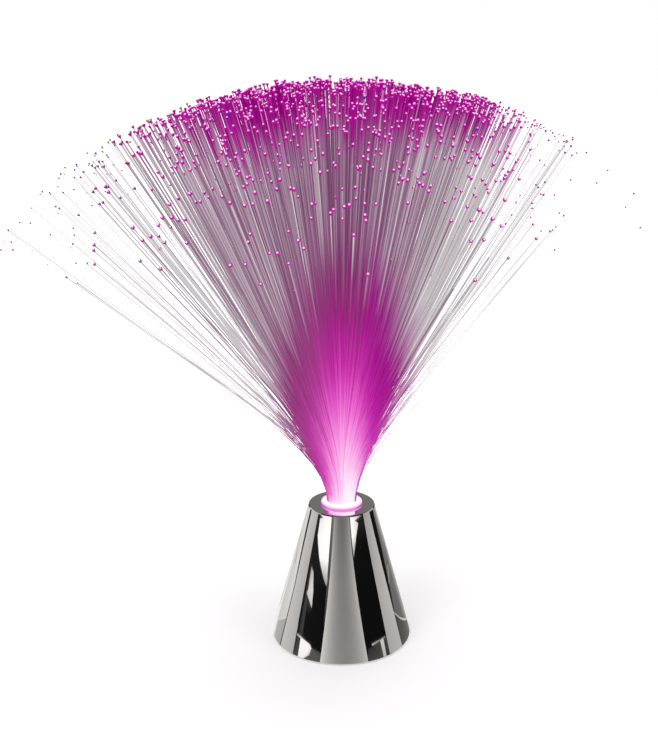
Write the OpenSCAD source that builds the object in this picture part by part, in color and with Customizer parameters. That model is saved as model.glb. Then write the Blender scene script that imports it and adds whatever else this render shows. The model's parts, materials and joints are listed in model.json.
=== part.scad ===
// Fiber optic lamp. A mirror-finished conical base holds three AAA cells and three colour-changing
// light-emitting diodes, and a spray of plastic fibers plugs into a turning collar on its top.
// Millimetres, +Z up. The origin is the centre of the face that the lamp stands on.

/* [Shell] */
// Outside diameter at the shell's lower edge
base_d = 84; // [82:1:96]
// Outside diameter at the shell's top
top_d = 39; // [38.5:0.5:44]
// Height of the shell's top face above the surface that the lamp stands on
base_h = 85; // [82:1:100]
// Wall of the shell, square to its surface
shell_wall = 2; // [1.6:0.1:2.4]
// Thickness of the shell's top face
top_wall = 2.4; // [2:0.1:3]
// Radius of the rounded edge round the top face
top_edge_r = 0.8; // [0.4:0.1:1.2]

/* [Foot and base plate] */
// Thickness of the soft foot ring
foot_h = 1.2; // [1:0.1:2]
// Width of the foot ring's band
foot_w = 3.6; // [3:0.1:4.2]
// Distance from the shell's lower edge in to the foot ring
foot_inset = 3.2; // [3:0.1:3.8]
// Thickness of the base plate
plate_t = 2.4; // [2.2:0.1:3]
// Gap between the base plate's rim and the shell
plate_gap = 0.15; // [0.1:0.05:0.3]
// Diameter of the case screws' heads
case_head_d = 4.8; // [4:0.1:5]
// Height of the case screws' heads
case_head_h = 1.5; // [1.3:0.1:1.6]
// Diameter of the case screws' shanks
case_shank_d = 2.2; // [2:0.1:2.6]
// Length of the case screws' shanks
case_shank_l = 12; // [8:1:14]
// Diameter of the bosses that the case screws bite in
case_boss_d = 6.2; // [5.4:0.2:6.8]

/* [Battery bay] */
// Diameter of a cell
cell_d = 10.5; // [10:0.1:10.9]
// Length of a cell over its positive nub
cell_l = 44.5; // [43.5:0.5:45]
// Diameter of the positive nub
nub_d = 3.8; // [3.4:0.1:4.2]
// Height of the positive nub
nub_l = 1.2; // [0.8:0.1:1.4]
// Space between neighbouring cells
cell_gap = 0.7; // [0.5:0.1:1]
// Space between the outer cells and the bay's side walls
bay_side_gap = 0.55; // [0.3:0.05:0.8]
// Space between the cells and the bay's roof
bay_top_gap = 0.4; // [0.3:0.1:1]
// Thickness of the bay's walls and roof
bay_wall = 1.2; // [1:0.1:1.6]
// Thickness of the contact plates
contact_t = 0.4; // [0.3:0.05:0.6]
// Height of the contact plates
contact_h = 8; // [7:0.5:8]
// Width of one contact plate
contact_w = 9; // [8:0.5:10]
// Width of a contact's solder tab
solder_tab_w = 2.5; // [2:0.1:3]
// Height of the solder tabs above the bay's roof
solder_tab_h = 3; // [2:0.5:4]
// Length of a battery spring with the cells in place
spring_l = 5.1; // [4.5:0.1:6]
// Diameter of a spring's wire
spring_wire_d = 0.6; // [0.5:0.05:0.7]
// Outside diameter of a spring at its contact plate
spring_foot_d = 8; // [7:0.2:8.6]
// Outside diameter of a spring at its cell
spring_tip_d = 5; // [4.6:0.2:6]
// Turns of a spring
spring_turns = 3; // [3:1:4]

/* [Battery door] */
// Thickness of the door
door_t = 1.8; // [1.6:0.1:1.9]
// Space between the door's long edges and its pocket
door_side_gap = 0.3; // [0.2:0.1:0.5]
// Space between the door's short edges and its pocket
door_end_gap = 0.5; // [0.5:0.1:0.8]
// Space between the door and the ledge above it
door_ledge_gap = 0.2; // [0.15:0.05:0.3]
// Width of the ledge round the bay
ledge_w = 1.9; // [1.6:0.1:2.4]
// Thickness of the ledge
ledge_t = 1.2; // [1:0.1:1.6]
// Height of the two ribs that the cells rest on
door_rib_h = 0.4; // [0.3:0.1:0.6]
// Width of a hooked tab
tab_w = 6; // [5:0.5:8]
// Length of a hooked tab
tab_l = 2.1; // [1.6:0.1:2.3]
// Thickness of a hooked tab
tab_t = 0.7; // [0.6:0.05:0.9]
// Distance between the two hooked tabs' centres
tab_pitch = 20; // [16:1:24]
// Width of the snap tongue
tongue_w = 9; // [7:0.5:10]
// Length of the cuts beside the snap tongue
tongue_l = 9; // [7:0.5:10]
// Reach of the snap tongue's barb, shown pressed back
barb_reach = 0.3; // [0.2:0.05:0.35]

/* [Switch] */
// Length of the switch's metal can
can_l = 13; // [12:0.5:14]
// Width of the can
can_w = 6.5; // [6:0.1:7]
// Height of the can above its ears
can_h = 5.5; // [5:0.1:6.5]
// Thickness of the can's walls
can_wall = 0.4; // [0.3:0.05:0.5]
// Length of the can over its ears
ear_span = 20; // [19.5:0.5:22]
// Thickness of the ears
ear_t = 0.5; // [0.4:0.1:0.8]
// Length of the knob
knob_l = 4; // [3:0.2:4.4]
// Width of the knob
knob_w = 3.2; // [2.6:0.1:3.6]
// Depth of the knob's end below the base plate's underside
knob_sink = 0.2; // [0.1:0.05:0.5]
// Travel of the knob
switch_travel = 3.5; // [2.5:0.1:3.6]
// Length of the finger recess round the knob
recess_l = 14; // [12:0.5:14.5]
// Width of the finger recess
recess_w = 9; // [7:0.5:10]
// Depth of the finger recess
recess_depth = 1.4; // [1:0.1:1.4]
// Space between the bay's frame and the finger recess
recess_gap = 2.4; // [1.5:0.1:3]
// Distance between the switch's terminals
terminal_pitch = 3.8; // [3.4:0.1:4.2]
// Height of the terminals above the can
terminal_h = 3.4; // [2.5:0.1:4]

/* [Light engine] */
// Length of the bosses under the top face that carry the holder
holder_boss_l = 8.6; // [8:0.2:9.5]
// Height of the holder
holder_h = 24; // [22:0.5:25]
// Thickness of the holder's flanges
holder_flange_t = 2.2; // [1.8:0.1:2.6]
// Wall of the holder's tube
holder_wall = 2.1; // [1.8:0.1:2.4]
// Diameter of the circuit board
board_d = 32; // [31.5:0.5:34]
// Thickness of the circuit board
board_t = 1.6; // [1.2:0.1:2]
// Diameter of a diode's dome
led_d = 5; // [4.5:0.1:5.2]
// Height of a diode above the board
led_h = 8.6; // [8:0.1:9.4]
// Distance from the lamp's axis to each diode
led_circle_r = 4.5; // [3.9:0.1:4.7]
// Space between the diodes' tops and the fibers' lower end
led_gap = 1.4; // [0.8:0.1:2]
// Diameter of an insulated wire
wire_d = 1.2; // [1:0.1:1.4]

/* [Collar] */
// Outside diameter of the collar's ring
collar_d = 24.3; // [24:0.1:26]
// Thickness of the collar's ring
collar_t = 1.5; // [1.2:0.1:2.2]
// Radius of the ring's rounded edge
collar_edge_r = 0.6; // [0.3:0.1:0.7]
// Wall of the sleeve under the ring
collar_wall = 1.42; // [1.3:0.02:1.5]
// Length of the sleeve below the shell's top face
collar_sleeve_l = 5; // [4.8:0.1:6]
// Turning clearance between the sleeve and the shell
turn_gap = 0.15; // [0.1:0.01:0.2]
// Space under the ring, and over the clip
collar_end_gap = 0.1; // [0.05:0.05:0.2]
// Thickness of the retaining clip
clip_t = 1.1; // [0.8:0.1:1.2]
// Depth of the clip's groove
clip_groove = 0.6; // [0.4:0.05:0.7]
// How far the clip reaches under the top face
clip_reach = 1.15; // [0.8:0.05:1.3]

/* [Fiber spray] */
// Diameter of the bound fiber bundle
bundle_d = 17.6; // [17:0.1:18]
// Wall of the ferrule round the bundle
ferrule_wall = 0.6; // [0.5:0.05:0.8]
// Space between the bundle and the ferrule
ferrule_gap = 0.1; // [0.05:0.05:0.15]
// Running clearance between the ferrule and the collar
slide_gap = 0.08; // [0.04:0.01:0.1]
// Width of the ferrule's lip
lip_w = 0.8; // [0.6:0.1:1.2]
// Thickness of the ferrule's lip
lip_t = 0.7; // [0.5:0.1:1]
// Thickness of the bundle's top slice, which the loose fibers stand in
slice_t = 2; // [1.5:0.1:3]
// Depth of the slice's top below the ferrule's top
slice_sink = 1.2; // [0.8:0.1:1.4]
// Number of loose strands
strand_count = 330; // [300:1:340]
// Share of the strands, from the middle out, that are straight enough for one section less
straight_share = 0.6; // [0.5:0.05:0.7]
// Length of a loose strand
strand_l = 244; // [200:1:260]
// Distance over which a strand takes up its lean
bend_l = 60; // [50:1:75]
// Lean of the strands that grows evenly from the middle out, in degrees
even_lean = 34; // [25:1:36]
// Extra lean of the outermost strands, in degrees
outer_lean = 27; // [15:1:30]
// How sharply the extra lean sets in towards the outermost strands
outer_power = 6; // [4:1:10]
// Width from centre to corner of a strand at its root
strand_root_r = 0.3; // [0.2:0.01:0.3]
// Width from centre to corner of a strand at its lit end
strand_tip_r = 0.6; // [0.5:0.05:0.9]
// Space between the outermost strands' axes and the ferrule's bore
strand_rim_gap = 0.7; // [0.6:0.05:1]

/* [Hidden] */
$fn = 96;

// Small overlap that makes a cut pass right through a face
cut = 0.1;
// Gap that keeps two parts of one body from sharing a curved face
hair = 0.05;
// Golden angle, which spreads the strands' roots evenly over a disc
golden = 137.50776;

// Shell
taper = (base_d - top_d) / 2 / (base_h - foot_h);
slope = atan(taper);
wall_across = shell_wall / cos(slope);
top_z = base_h - top_wall;

// Base plate and foot
plate_top = foot_h + plate_t;
foot_r = base_d / 2 - foot_inset;
case_head_margin = 1.2;
case_circle_r = foot_r - foot_w - case_head_margin - case_head_d / 2;
case_head_z = foot_h + hair;
case_boss_gap = 0.3;
pilot_end_gap = 1;
case_pilot_top = case_head_z + case_head_h + case_shank_l + pilot_end_gap;

// Battery bay
cell_pitch = cell_d + cell_gap;
bay_x = (cell_l + spring_l) / 2 + contact_t;
bay_y = cell_pitch + cell_d / 2 + bay_side_gap;
pocket_x = bay_x + ledge_w;
pocket_y = bay_y + ledge_w;
pocket_top = foot_h + door_t + door_ledge_gap;
ledge_top = pocket_top + ledge_t;
frame_rim = 1.2;
cell_rest_gap = 0.1;
cell_z = foot_h + door_t + door_rib_h + cell_rest_gap + cell_d / 2;
roof_z = cell_z + cell_d / 2 + bay_top_gap;
roof_top = roof_z + bay_wall;
contact_face = bay_x - contact_t;
solder_tab_top = roof_top + solder_tab_h;
divider_w = 1.2;
divider_h = 1.8;
solder_slot_gap = 0.3;

// Battery door, which turns about its lower edge at the -X end
hinge_x = -pocket_x + door_end_gap;
tab_gap = 0.3;
door_lip_t = door_t - tab_t - tab_gap;
tab_slot_top = max(ledge_top + cut, foot_h + norm([tab_l, door_t]) + tab_gap);
tongue_cut_w = 1;
barb_h = 0.7;
catch_depth = 0.7;
nail_recess_r = 4.5;
nail_recess_depth = 1.1;
door_rib_w = 2;
door_rib_x = 12;

// Case bosses stand just beside the bay's frame
case_boss_y = pocket_y + frame_rim + case_boss_gap + case_boss_d / 2;
case_boss_x = sqrt(case_circle_r * case_circle_r - case_boss_y * case_boss_y);

// Switch, drawn in its lit position
switch_y = -(pocket_y + frame_rim + recess_gap + recess_w / 2);
knob_x = switch_travel / 2;
knob_play = 0.3;
ear_top = plate_top + ear_t;
can_top = ear_top + can_h;
wafer_t = 1.2;
wafer_gap = 0.05;
wafer_z = can_top - wafer_t;
carriage_l = 6.4;
carriage_t = 2.1;
carriage_gap = 0.15;
carriage_top = ear_top + carriage_gap + carriage_t;
terminal_w = 1.2;
terminal_t = 0.5;
contact_pad_t = 0.4;
wiper_gap = 0.1;
ear_hole_x = (can_l + ear_span) / 4;
small_head_d = 3.4;
small_head_h = 1.2;
small_shank_d = 1.6;
switch_shank_l = 2.2;

// Light engine
pilot_gap = 0.05;
collar_bore_r = bundle_d / 2 + ferrule_gap + ferrule_wall + slide_gap;
sleeve_r = collar_bore_r + collar_wall;
hole_r = sleeve_r + turn_gap;
clip_r = hole_r + clip_reach;
holder_boss_r = 2.6;
holder_circle_r = clip_r + case_boss_gap + holder_boss_r;
holder_top = top_z - holder_boss_l;
holder_z = holder_top - holder_h;
ferrule_r = bundle_d / 2 + ferrule_gap + ferrule_wall;
holder_bore_gap = 0.4;
holder_bore_r = ferrule_r + holder_bore_gap;
holder_tube_r = holder_bore_r + holder_wall;
holder_flange_r = holder_circle_r + holder_boss_r - 0.2;
screw_head_d = 3.6;
screw_head_h = 1.4;
screw_shank_d = 1.7;
screw_hole_gap = 0.25;
holder_shank_l = 8;
holder_pilot_top = holder_top - holder_flange_t + holder_shank_l + pilot_end_gap;
board_boss_r = 2.1;
board_boss_l = 5;
board_rim = 0.5;
board_circle_r = board_d / 2 - board_boss_r - board_rim;
board_shank_l = 7;
board_z = holder_z - board_t;
board_pilot_top = board_z + board_shank_l + pilot_end_gap / 2;
led_top = holder_z + led_h;
led_flange_t = 1;
led_flange_w = 0.4;
led_lead_d = 0.5;
led_lead_pitch = 2.54;
led_lead_l = 1.2;
wire_end_gap = 0.05;
short_wire_lead = 11;
long_wire_lead = 14;

// Collar and spray
collar_z = base_h + collar_end_gap;
collar_top = collar_z + collar_t;
sleeve_z = base_h - collar_sleeve_l;
clip_z = top_z - collar_end_gap - clip_t;
ferrule_z = led_top + led_gap;
ferrule_top = collar_top + lip_t;
slice_top = ferrule_top - slice_sink;
root_depth = 0.5;
root_z = slice_top - root_depth;
root_r = bundle_d / 2 + ferrule_gap - strand_rim_gap;
strand_sides = 3;
straight_stations = [0, 0.4 * bend_l, 0.92 * bend_l, strand_l];
curved_stations = [0, 0.4 * bend_l, 0.92 * bend_l, 1.83 * bend_l, strand_l];
curve_steps = 12;

// Outside radius of the shell at a height
function shell_r(z) = base_d / 2 - taper * (z - foot_h);

// Inside radius of the shell at a height
function bore_r(z) = shell_r(z) - wall_across;

// A ring of points about a centre, in the plane of two square directions
function ring(centre, across, along, r, sides) =
    [for (k = [0:sides - 1]) let(a = 360 * k / sides) centre + r * (cos(a) * across + sin(a) * along)];

// Triangles of a tube through rings of points, the first of which is point number start
function tube_faces(count, sides, start) = concat(
    [for (i = [0:count - 2], k = [0:sides - 1])
        let(a = start + i * sides + k, b = start + i * sides + (k + 1) % sides)
        each [[a, b + sides, b], [a, a + sides, b + sides]]],
    [for (k = [1:sides - 2]) [start, start + k, start + k + 1]],
    [for (k = [1:sides - 2]) let(e = start + (count - 1) * sides) [e, e + k + 1, e + k]]);

// A point on the smooth curve from one end to the other, with a handle at each end
function bend(from, from_handle, to, to_handle, t) =
    pow(1 - t, 3) * from + 3 * pow(1 - t, 2) * t * (from + from_handle)
    + 3 * (1 - t) * t * t * (to + to_handle) + t * t * t * to;

// A direction of length one
function unit(v) = v / norm(v);

// Lean of a strand from upright at a distance along it, in degrees
function lean(full, s) = full * (1 - exp(-s / bend_l));

// How far a strand has gone outward and upward at a distance along it
function reach(full, s) = let(step = s / curve_steps)
    step * [for (k = [1:curve_steps]) 1]
    * [for (k = [1:curve_steps]) let(a = lean(full, (k - 0.5) * step)) [sin(a), cos(a)]];

// Full lean of the strand whose root has this share of the roots inside it
function full_lean(share) = even_lean * sqrt(share) + outer_lean * pow(share, outer_power);

// Ring of a strand at a distance along it
function strand_ring(share, turn, s) =
    let(full = full_lean(share), a = lean(full, s), go = reach(full, s), r = root_r * sqrt(share) + go[0],
        out = [cos(turn), sin(turn), 0], side = [-sin(turn), cos(turn), 0],
        width = strand_root_r + (strand_tip_r - strand_root_r) * s / strand_l)
    ring(r * out + [0, 0, root_z + go[1]], cos(a) * out - [0, 0, sin(a)], side, width, strand_sides);

// A box centred on X and Y that stands between two heights
module slab(x, y, from, to) {
    translate([-x / 2, -y / 2, from]) cube([x, y, to - from]);
}

// A cylinder that stands between two heights
module post(r, from, to) {
    translate([0, 0, from]) cylinder(r = r, h = to - from);
}

// A pan-head screw that points up, with its head's underside at the origin's height
module screw(head_d, head_h, shank_d, shank_l) {
    drive_w = head_d * 0.17;
    drive_l = head_d * 0.6;
    drive_depth = head_h * 0.55;
    difference() {
        union() {
            post(head_d / 2, -head_h, 0);
            post(shank_d / 2, 0, shank_l);
        }
        slab(drive_l, drive_w, -head_h - cut, -head_h + drive_depth);
        slab(drive_w, drive_l, -head_h - cut, -head_h + drive_depth);
    }
}

// Copies at the four case bosses
module at_case_bosses() {
    for (x = [-1, 1], y = [-1, 1])
        translate([x * case_boss_x, y * case_boss_y, 0]) children();
}

// Copies at the three places of a circle, the first at an angle
module three_round(r, angle) {
    for (k = [0:2]) rotate([0, 0, angle + 120 * k]) translate([r, 0, 0]) children();
}

// Solid of the shell's outside down to a depth below its surface
module shell_solid(depth) {
    skin = depth / cos(slope);
    translate([0, 0, foot_h])
        cylinder(r1 = shell_r(foot_h) - skin, r2 = shell_r(base_h) - skin, h = base_h - foot_h);
}

module chrome_shell() {
    edge_x = shell_r(base_h - top_edge_r) - top_edge_r / cos(slope);
    edge_z = base_h - top_edge_r;
    color("gainsboro") difference() {
        union() {
            rotate_extrude() {
                polygon([[bore_r(foot_h), foot_h], [base_d / 2, foot_h],
                    [edge_x + top_edge_r * cos(slope), edge_z + top_edge_r * sin(slope)],
                    [edge_x, base_h], [hole_r, base_h], [hole_r, top_z], [bore_r(top_z), top_z]]);
                translate([edge_x, edge_z]) circle(r = top_edge_r);
            }
            intersection() {
                shell_solid(shell_wall / 2);
                union() {
                    at_case_bosses() post(case_boss_d / 2, plate_top, holder_z);
                    three_round(holder_circle_r, 30)
                        post(holder_boss_r, holder_top, base_h - top_wall / 2);
                }
            }
        }
        at_case_bosses()
            post(case_shank_d / 2 + pilot_gap, plate_top - cut, case_pilot_top);
        three_round(holder_circle_r, 30)
            post(screw_shank_d / 2 + pilot_gap, holder_top - cut, holder_pilot_top);
    }
}

module foot_ring() {
    color("dimgray") difference() {
        post(foot_r, 0, foot_h);
        post(foot_r - foot_w, -cut, foot_h + cut);
    }
}

// The battery bay's space, with its two dividers and the windows of its contacts' solder tabs
module bay_space() {
    difference() {
        slab(2 * bay_x, 2 * bay_y, foot_h - cut, roof_z);
        for (side = [-1, 1])
            translate([0, side * cell_pitch / 2, 0])
                slab(cell_l / 2, divider_w, roof_z - divider_h, roof_z + cut);
    }
    for (side = [1, -1])
        translate([side * (bay_x - contact_t / 2), -side * cell_pitch, 0])
            slab(contact_t + solder_slot_gap, solder_tab_w + 2 * solder_slot_gap, roof_z - cut, roof_top + cut);
}

// The pocket that the battery door lies in, with its tab slots and its catch
module door_pocket() {
    slab(2 * pocket_x, 2 * pocket_y, foot_h - cut, pocket_top);
    for (side = [-1, 1])
        translate([-bay_x - (ledge_w + tab_l) / 2, side * tab_pitch / 2, 0])
            slab(ledge_w + tab_l + cut, tab_w + 2 * tab_gap, foot_h + door_lip_t, tab_slot_top);
    translate([pocket_x, 0, 0])
        slab(2 * catch_depth, tongue_w + 2 * tab_gap, foot_h + door_t - barb_h - tab_gap, pocket_top);
    translate([pocket_x, 0, 0]) post(nail_recess_r, foot_h - cut, foot_h + nail_recess_depth);
}

// Recess, slot, marks and pilot holes of the switch
module switch_cuts() {
    mark_r = 1.4;
    mark_w = 0.5;
    mark_depth = 0.3;
    mark_x = recess_l / 2 + 3;
    mark_z = foot_h + mark_depth;
    translate([0, switch_y, 0]) {
        slab(recess_l, recess_w, foot_h - cut, foot_h + recess_depth);
        slab(knob_l + switch_travel + 2 * knob_play, knob_w + 2 * knob_play, foot_h, plate_top + cut);
        for (side = [-1, 1])
            translate([side * ear_hole_x, 0, 0])
                post(small_shank_d / 2 + pilot_gap, plate_top - 1.7, plate_top + cut);
        translate([mark_x, 0, 0]) slab(mark_w, 2 * mark_r, foot_h - cut, mark_z);
        translate([-mark_x, 0, 0]) difference() {
            post(mark_r, foot_h - cut, mark_z);
            post(mark_r - mark_w, foot_h - 2 * cut, mark_z + cut);
        }
    }
}

module base_plate() {
    plate_r = bore_r(foot_h) - plate_gap;
    color("darkslategray") difference() {
        union() {
            translate([0, 0, foot_h])
                cylinder(r1 = plate_r, r2 = plate_r - taper * plate_t, h = plate_t);
            slab(2 * (pocket_x + frame_rim), 2 * (pocket_y + frame_rim), plate_top - cut, ledge_top);
            slab(2 * (bay_x + bay_wall), 2 * (bay_y + bay_wall), plate_top - cut, roof_top);
        }
        bay_space();
        door_pocket();
        switch_cuts();
        at_case_bosses() {
            post(case_head_d / 2 + screw_hole_gap, foot_h - cut, case_head_z + case_head_h);
            post(case_shank_d / 2 + screw_hole_gap, foot_h, plate_top + cut);
        }
    }
}

module case_screws() {
    color("silver") at_case_bosses()
        translate([0, 0, case_head_z + case_head_h])
            screw(case_head_d, case_head_h, case_shank_d, case_shank_l);
}

module battery_door() {
    door_y = pocket_y - door_side_gap;
    end_x = pocket_x - door_end_gap;
    top = foot_h + door_t;
    grip_count = 4;
    grip_pitch = 1.6;
    grip_w = 0.6;
    grip_depth = 0.4;
    color("darkslategray") difference() {
        union() {
            slab(2 * end_x, 2 * door_y, foot_h, top);
            for (side = [-1, 1]) {
                translate([hinge_x - tab_l / 2 + cut / 2, side * tab_pitch / 2, 0])
                    slab(tab_l + cut, tab_w, top - tab_t, top);
                translate([side * door_rib_x, 0, 0])
                    slab(door_rib_w, 2 * (bay_y - bay_wall), top - cut, top + door_rib_h);
            }
            translate([end_x + barb_reach / 2 - cut / 2, 0, 0])
                slab(barb_reach + cut, tongue_w, top - barb_h, top);
        }
        for (side = [-1, 1])
            translate([end_x - tongue_l / 2, side * (tongue_w + tongue_cut_w) / 2, 0])
                slab(tongue_l + 2 * barb_reach + 2 * cut, tongue_cut_w, foot_h - cut, top + cut);
        for (k = [1:grip_count])
            translate([end_x - k * grip_pitch, 0, 0]) slab(grip_w, tongue_w - 2, foot_h - cut, foot_h + grip_depth);
    }
}

// A cell whose positive nub points along +X (side 1) or -X (side -1)
module cell(side) {
    body_l = cell_l - nub_l;
    rim = 0.4;
    rotate([0, 90, 0]) mirror([0, 0, side > 0 ? 0 : 1])
        translate([0, 0, contact_face - cell_l]) {
            rotate_extrude() polygon([[0, 0], [cell_d / 2 - rim, 0], [cell_d / 2, rim],
                [cell_d / 2, body_l - rim], [cell_d / 2 - rim, body_l], [nub_d / 2, body_l],
                [nub_d / 2, cell_l], [0, cell_l]]);
        }
}

module battery_1() {
    color("goldenrod") translate([0, -cell_pitch, cell_z]) cell(1);
}

module battery_2() {
    color("goldenrod") translate([0, 0, cell_z]) cell(-1);
}

module battery_3() {
    color("goldenrod") translate([0, cell_pitch, cell_z]) cell(1);
}

// A contact plate against the bay's end wall, centred on a place across the bay
module contact_plate(side, y, w) {
    translate([side * (contact_face + contact_t / 2), y, cell_z])
        slab(contact_t, w, -contact_h / 2, contact_h / 2);
}

// A contact plate with a solder tab that passes up through the bay's roof
module end_contact(side) {
    y = -side * cell_pitch;
    contact_plate(side, y, contact_w);
    translate([side * (contact_face + contact_t / 2), y, 0])
        slab(contact_t, solder_tab_w, cell_z, solder_tab_top);
}

module contact_positive() {
    color("silver") end_contact(1);
}

module contact_negative() {
    color("silver") end_contact(-1);
}

module contact_link_left() {
    color("silver") contact_plate(-1, -cell_pitch / 2, contact_w + cell_pitch);
}

module contact_link_right() {
    color("silver") contact_plate(1, cell_pitch / 2, contact_w + cell_pitch);
}

// A cone-shaped coil between a contact plate and the flat end of a cell
module battery_spring(side, y) {
    sides = 6;
    rings_per_turn = 8;
    count = spring_turns * rings_per_turn + 1;
    wire_r = spring_wire_d / 2;
    foot_x = contact_face - wire_r - hair;
    tip_x = contact_face - spring_l + wire_r + hair;
    rings = [for (k = [0:count - 1])
        let(t = k / (count - 1), turn = 360 * k / rings_per_turn, out = [0, cos(turn), sin(turn)],
            r = (spring_foot_d + (spring_tip_d - spring_foot_d) * t) / 2 - wire_r)
        ring(r * out + [foot_x + (tip_x - foot_x) * t, 0, 0], out, [1, 0, 0], wire_r, sides)];
    translate([0, y, cell_z]) mirror([side > 0 ? 0 : 1, 0, 0])
        polyhedron([for (r = rings) each r], tube_faces(count, sides, 0));
}

module battery_springs() {
    color("silver") {
        battery_spring(-1, -cell_pitch);
        battery_spring(1, 0);
        battery_spring(-1, cell_pitch);
    }
}

module switch_can() {
    color("silver") translate([0, switch_y, 0]) difference() {
        union() {
            slab(ear_span, can_w, plate_top, ear_top);
            slab(can_l, can_w, plate_top, can_top);
        }
        slab(can_l - 2 * can_wall, can_w - 2 * can_wall, ear_top, can_top + cut);
        slab(knob_l + switch_travel + 2 * knob_play, knob_w + 2 * knob_play, plate_top - cut, can_top);
        for (side = [-1, 1])
            translate([side * ear_hole_x, 0, 0])
                post(small_shank_d / 2 + screw_hole_gap, plate_top - cut, ear_top + cut);
    }
}

// Places of the three terminals
module at_terminals() {
    for (k = [-1:1]) translate([k * terminal_pitch, switch_y, 0]) children();
}

module switch_wafer() {
    inner = 2 * (can_wall + wafer_gap);
    color("saddlebrown") difference() {
        translate([0, switch_y, 0]) slab(can_l - inner, can_w - inner, wafer_z, can_top);
        at_terminals() slab(terminal_w + 2 * hair, terminal_t + 2 * hair, wafer_z - cut, can_top + cut);
    }
}

module switch_terminals() {
    pad_w = 2.4;
    color("silver") at_terminals() {
        slab(pad_w, pad_w, wafer_z - contact_pad_t, wafer_z);
        slab(terminal_w, terminal_t, wafer_z - cut, can_top + terminal_h);
    }
}

module switch_knob() {
    carriage_w = can_w - 2 * (can_wall + knob_play);
    ridge_count = 2;
    ridge_pitch = 1.3;
    ridge_w = 0.5;
    ridge_depth = 0.35;
    knob_z = foot_h + knob_sink;
    color("black") translate([knob_x, switch_y, 0]) difference() {
        union() {
            slab(knob_l, knob_w, knob_z, carriage_top);
            slab(carriage_l, carriage_w, ear_top + carriage_gap, carriage_top);
        }
        for (k = [0:ridge_count - 1])
            translate([(k - (ridge_count - 1) / 2) * ridge_pitch, 0, 0])
                slab(ridge_w, knob_w + cut, knob_z - cut, knob_z + ridge_depth);
    }
}

// Bridging contact, which rides on the carriage and joins two neighbouring terminals
module switch_wiper() {
    strip_t = 0.3;
    strip_w = 2;
    bump_r = (wafer_z - contact_pad_t - wiper_gap - carriage_top - strip_t);
    color("gold") translate([knob_x, switch_y, 0]) {
        slab(carriage_l - 1, strip_w, carriage_top, carriage_top + strip_t);
        for (side = [-1, 1])
            translate([side * terminal_pitch / 2, 0, 0])
                slab(0.8, strip_w, carriage_top, carriage_top + strip_t + bump_r);
    }
}

module switch_screws() {
    color("silver") translate([0, switch_y, ear_top])
        for (side = [-1, 1])
            translate([side * ear_hole_x, 0, 0]) rotate([180, 0, 0])
                screw(small_head_d, small_head_h, small_shank_d, switch_shank_l - 0.1);
}

module light_holder() {
    color("white") difference() {
        union() {
            post(holder_tube_r, holder_z, holder_top);
            post(holder_flange_r, holder_top - holder_flange_t, holder_top);
            post(board_d / 2, holder_z, holder_z + holder_flange_t);
            three_round(board_circle_r, 60)
                post(board_boss_r, holder_z, holder_z + holder_flange_t + board_boss_l);
        }
        post(holder_bore_r, holder_z - cut, holder_top + cut);
        three_round(holder_circle_r, 30)
            post(screw_shank_d / 2 + screw_hole_gap, holder_top - holder_flange_t - cut, holder_top + cut);
        three_round(board_circle_r, 60)
            post(screw_shank_d / 2 + pilot_gap, holder_z - cut, board_pilot_top);
    }
}

module holder_screws() {
    color("silver") three_round(holder_circle_r, 30)
        translate([0, 0, holder_top - holder_flange_t])
            screw(screw_head_d, screw_head_h, screw_shank_d, holder_shank_l);
}

// Places of the three diodes
module at_led(number) {
    rotate([0, 0, 90 + 120 * number]) translate([led_circle_r, 0, 0])
        rotate([0, 0, -90 - 120 * number]) children();
}

module led_board() {
    color("seagreen") difference() {
        post(board_d / 2, board_z, holder_z);
        three_round(board_circle_r, 60)
            post(screw_shank_d / 2 + screw_hole_gap, board_z - cut, holder_z + cut);
        for (number = [0:2], side = [-1, 1])
            at_led(number) translate([side * led_lead_pitch / 2, 0, 0])
                post(led_lead_d / 2 + screw_hole_gap, board_z - cut, holder_z + cut);
    }
}

module board_screws() {
    color("silver") three_round(board_circle_r, 60)
        translate([0, 0, board_z])
            screw(screw_head_d, screw_head_h, screw_shank_d, board_shank_l);
}

// A round-topped diode on the board, with its two leads through the board
module led(number) {
    r = led_d / 2;
    at_led(number) {
        post(r + led_flange_w, holder_z, holder_z + led_flange_t);
        post(r, holder_z, led_top - r);
        translate([0, 0, led_top - r]) sphere(r = r);
        for (side = [-1, 1])
            translate([side * led_lead_pitch / 2, 0, 0])
                post(led_lead_d / 2, board_z - led_lead_l, holder_z + cut);
    }
}

module led_red() {
    color("red") led(0);
}

module led_green() {
    color("lime") led(1);
}

module led_blue() {
    color("blue") led(2);
}

module control_chip() {
    chip_l = 5;
    chip_w = 4;
    chip_t = 1.5;
    leg_w = 0.4;
    leg_pitch = 1.27;
    leg_reach = 1;
    chip_y = 10.5;
    color("black") translate([0, chip_y, 0]) {
        slab(chip_l, chip_w, board_z - chip_t, board_z - 0.1);
        for (k = [-1.5:1.5])
            translate([k * leg_pitch, 0, 0]) slab(leg_w, chip_w + 2 * leg_reach, board_z - 0.3, board_z);
    }
}

module resistors() {
    resistor_l = 3.2;
    resistor_w = 1.6;
    resistor_t = 0.6;
    resistor_x = 9;
    resistor_pitch = 2.6;
    color("black") for (k = [0:2])
        translate([resistor_x, (k - 0.5) * resistor_pitch, 0])
            slab(resistor_l, resistor_w, board_z - resistor_t, board_z);
}

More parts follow.
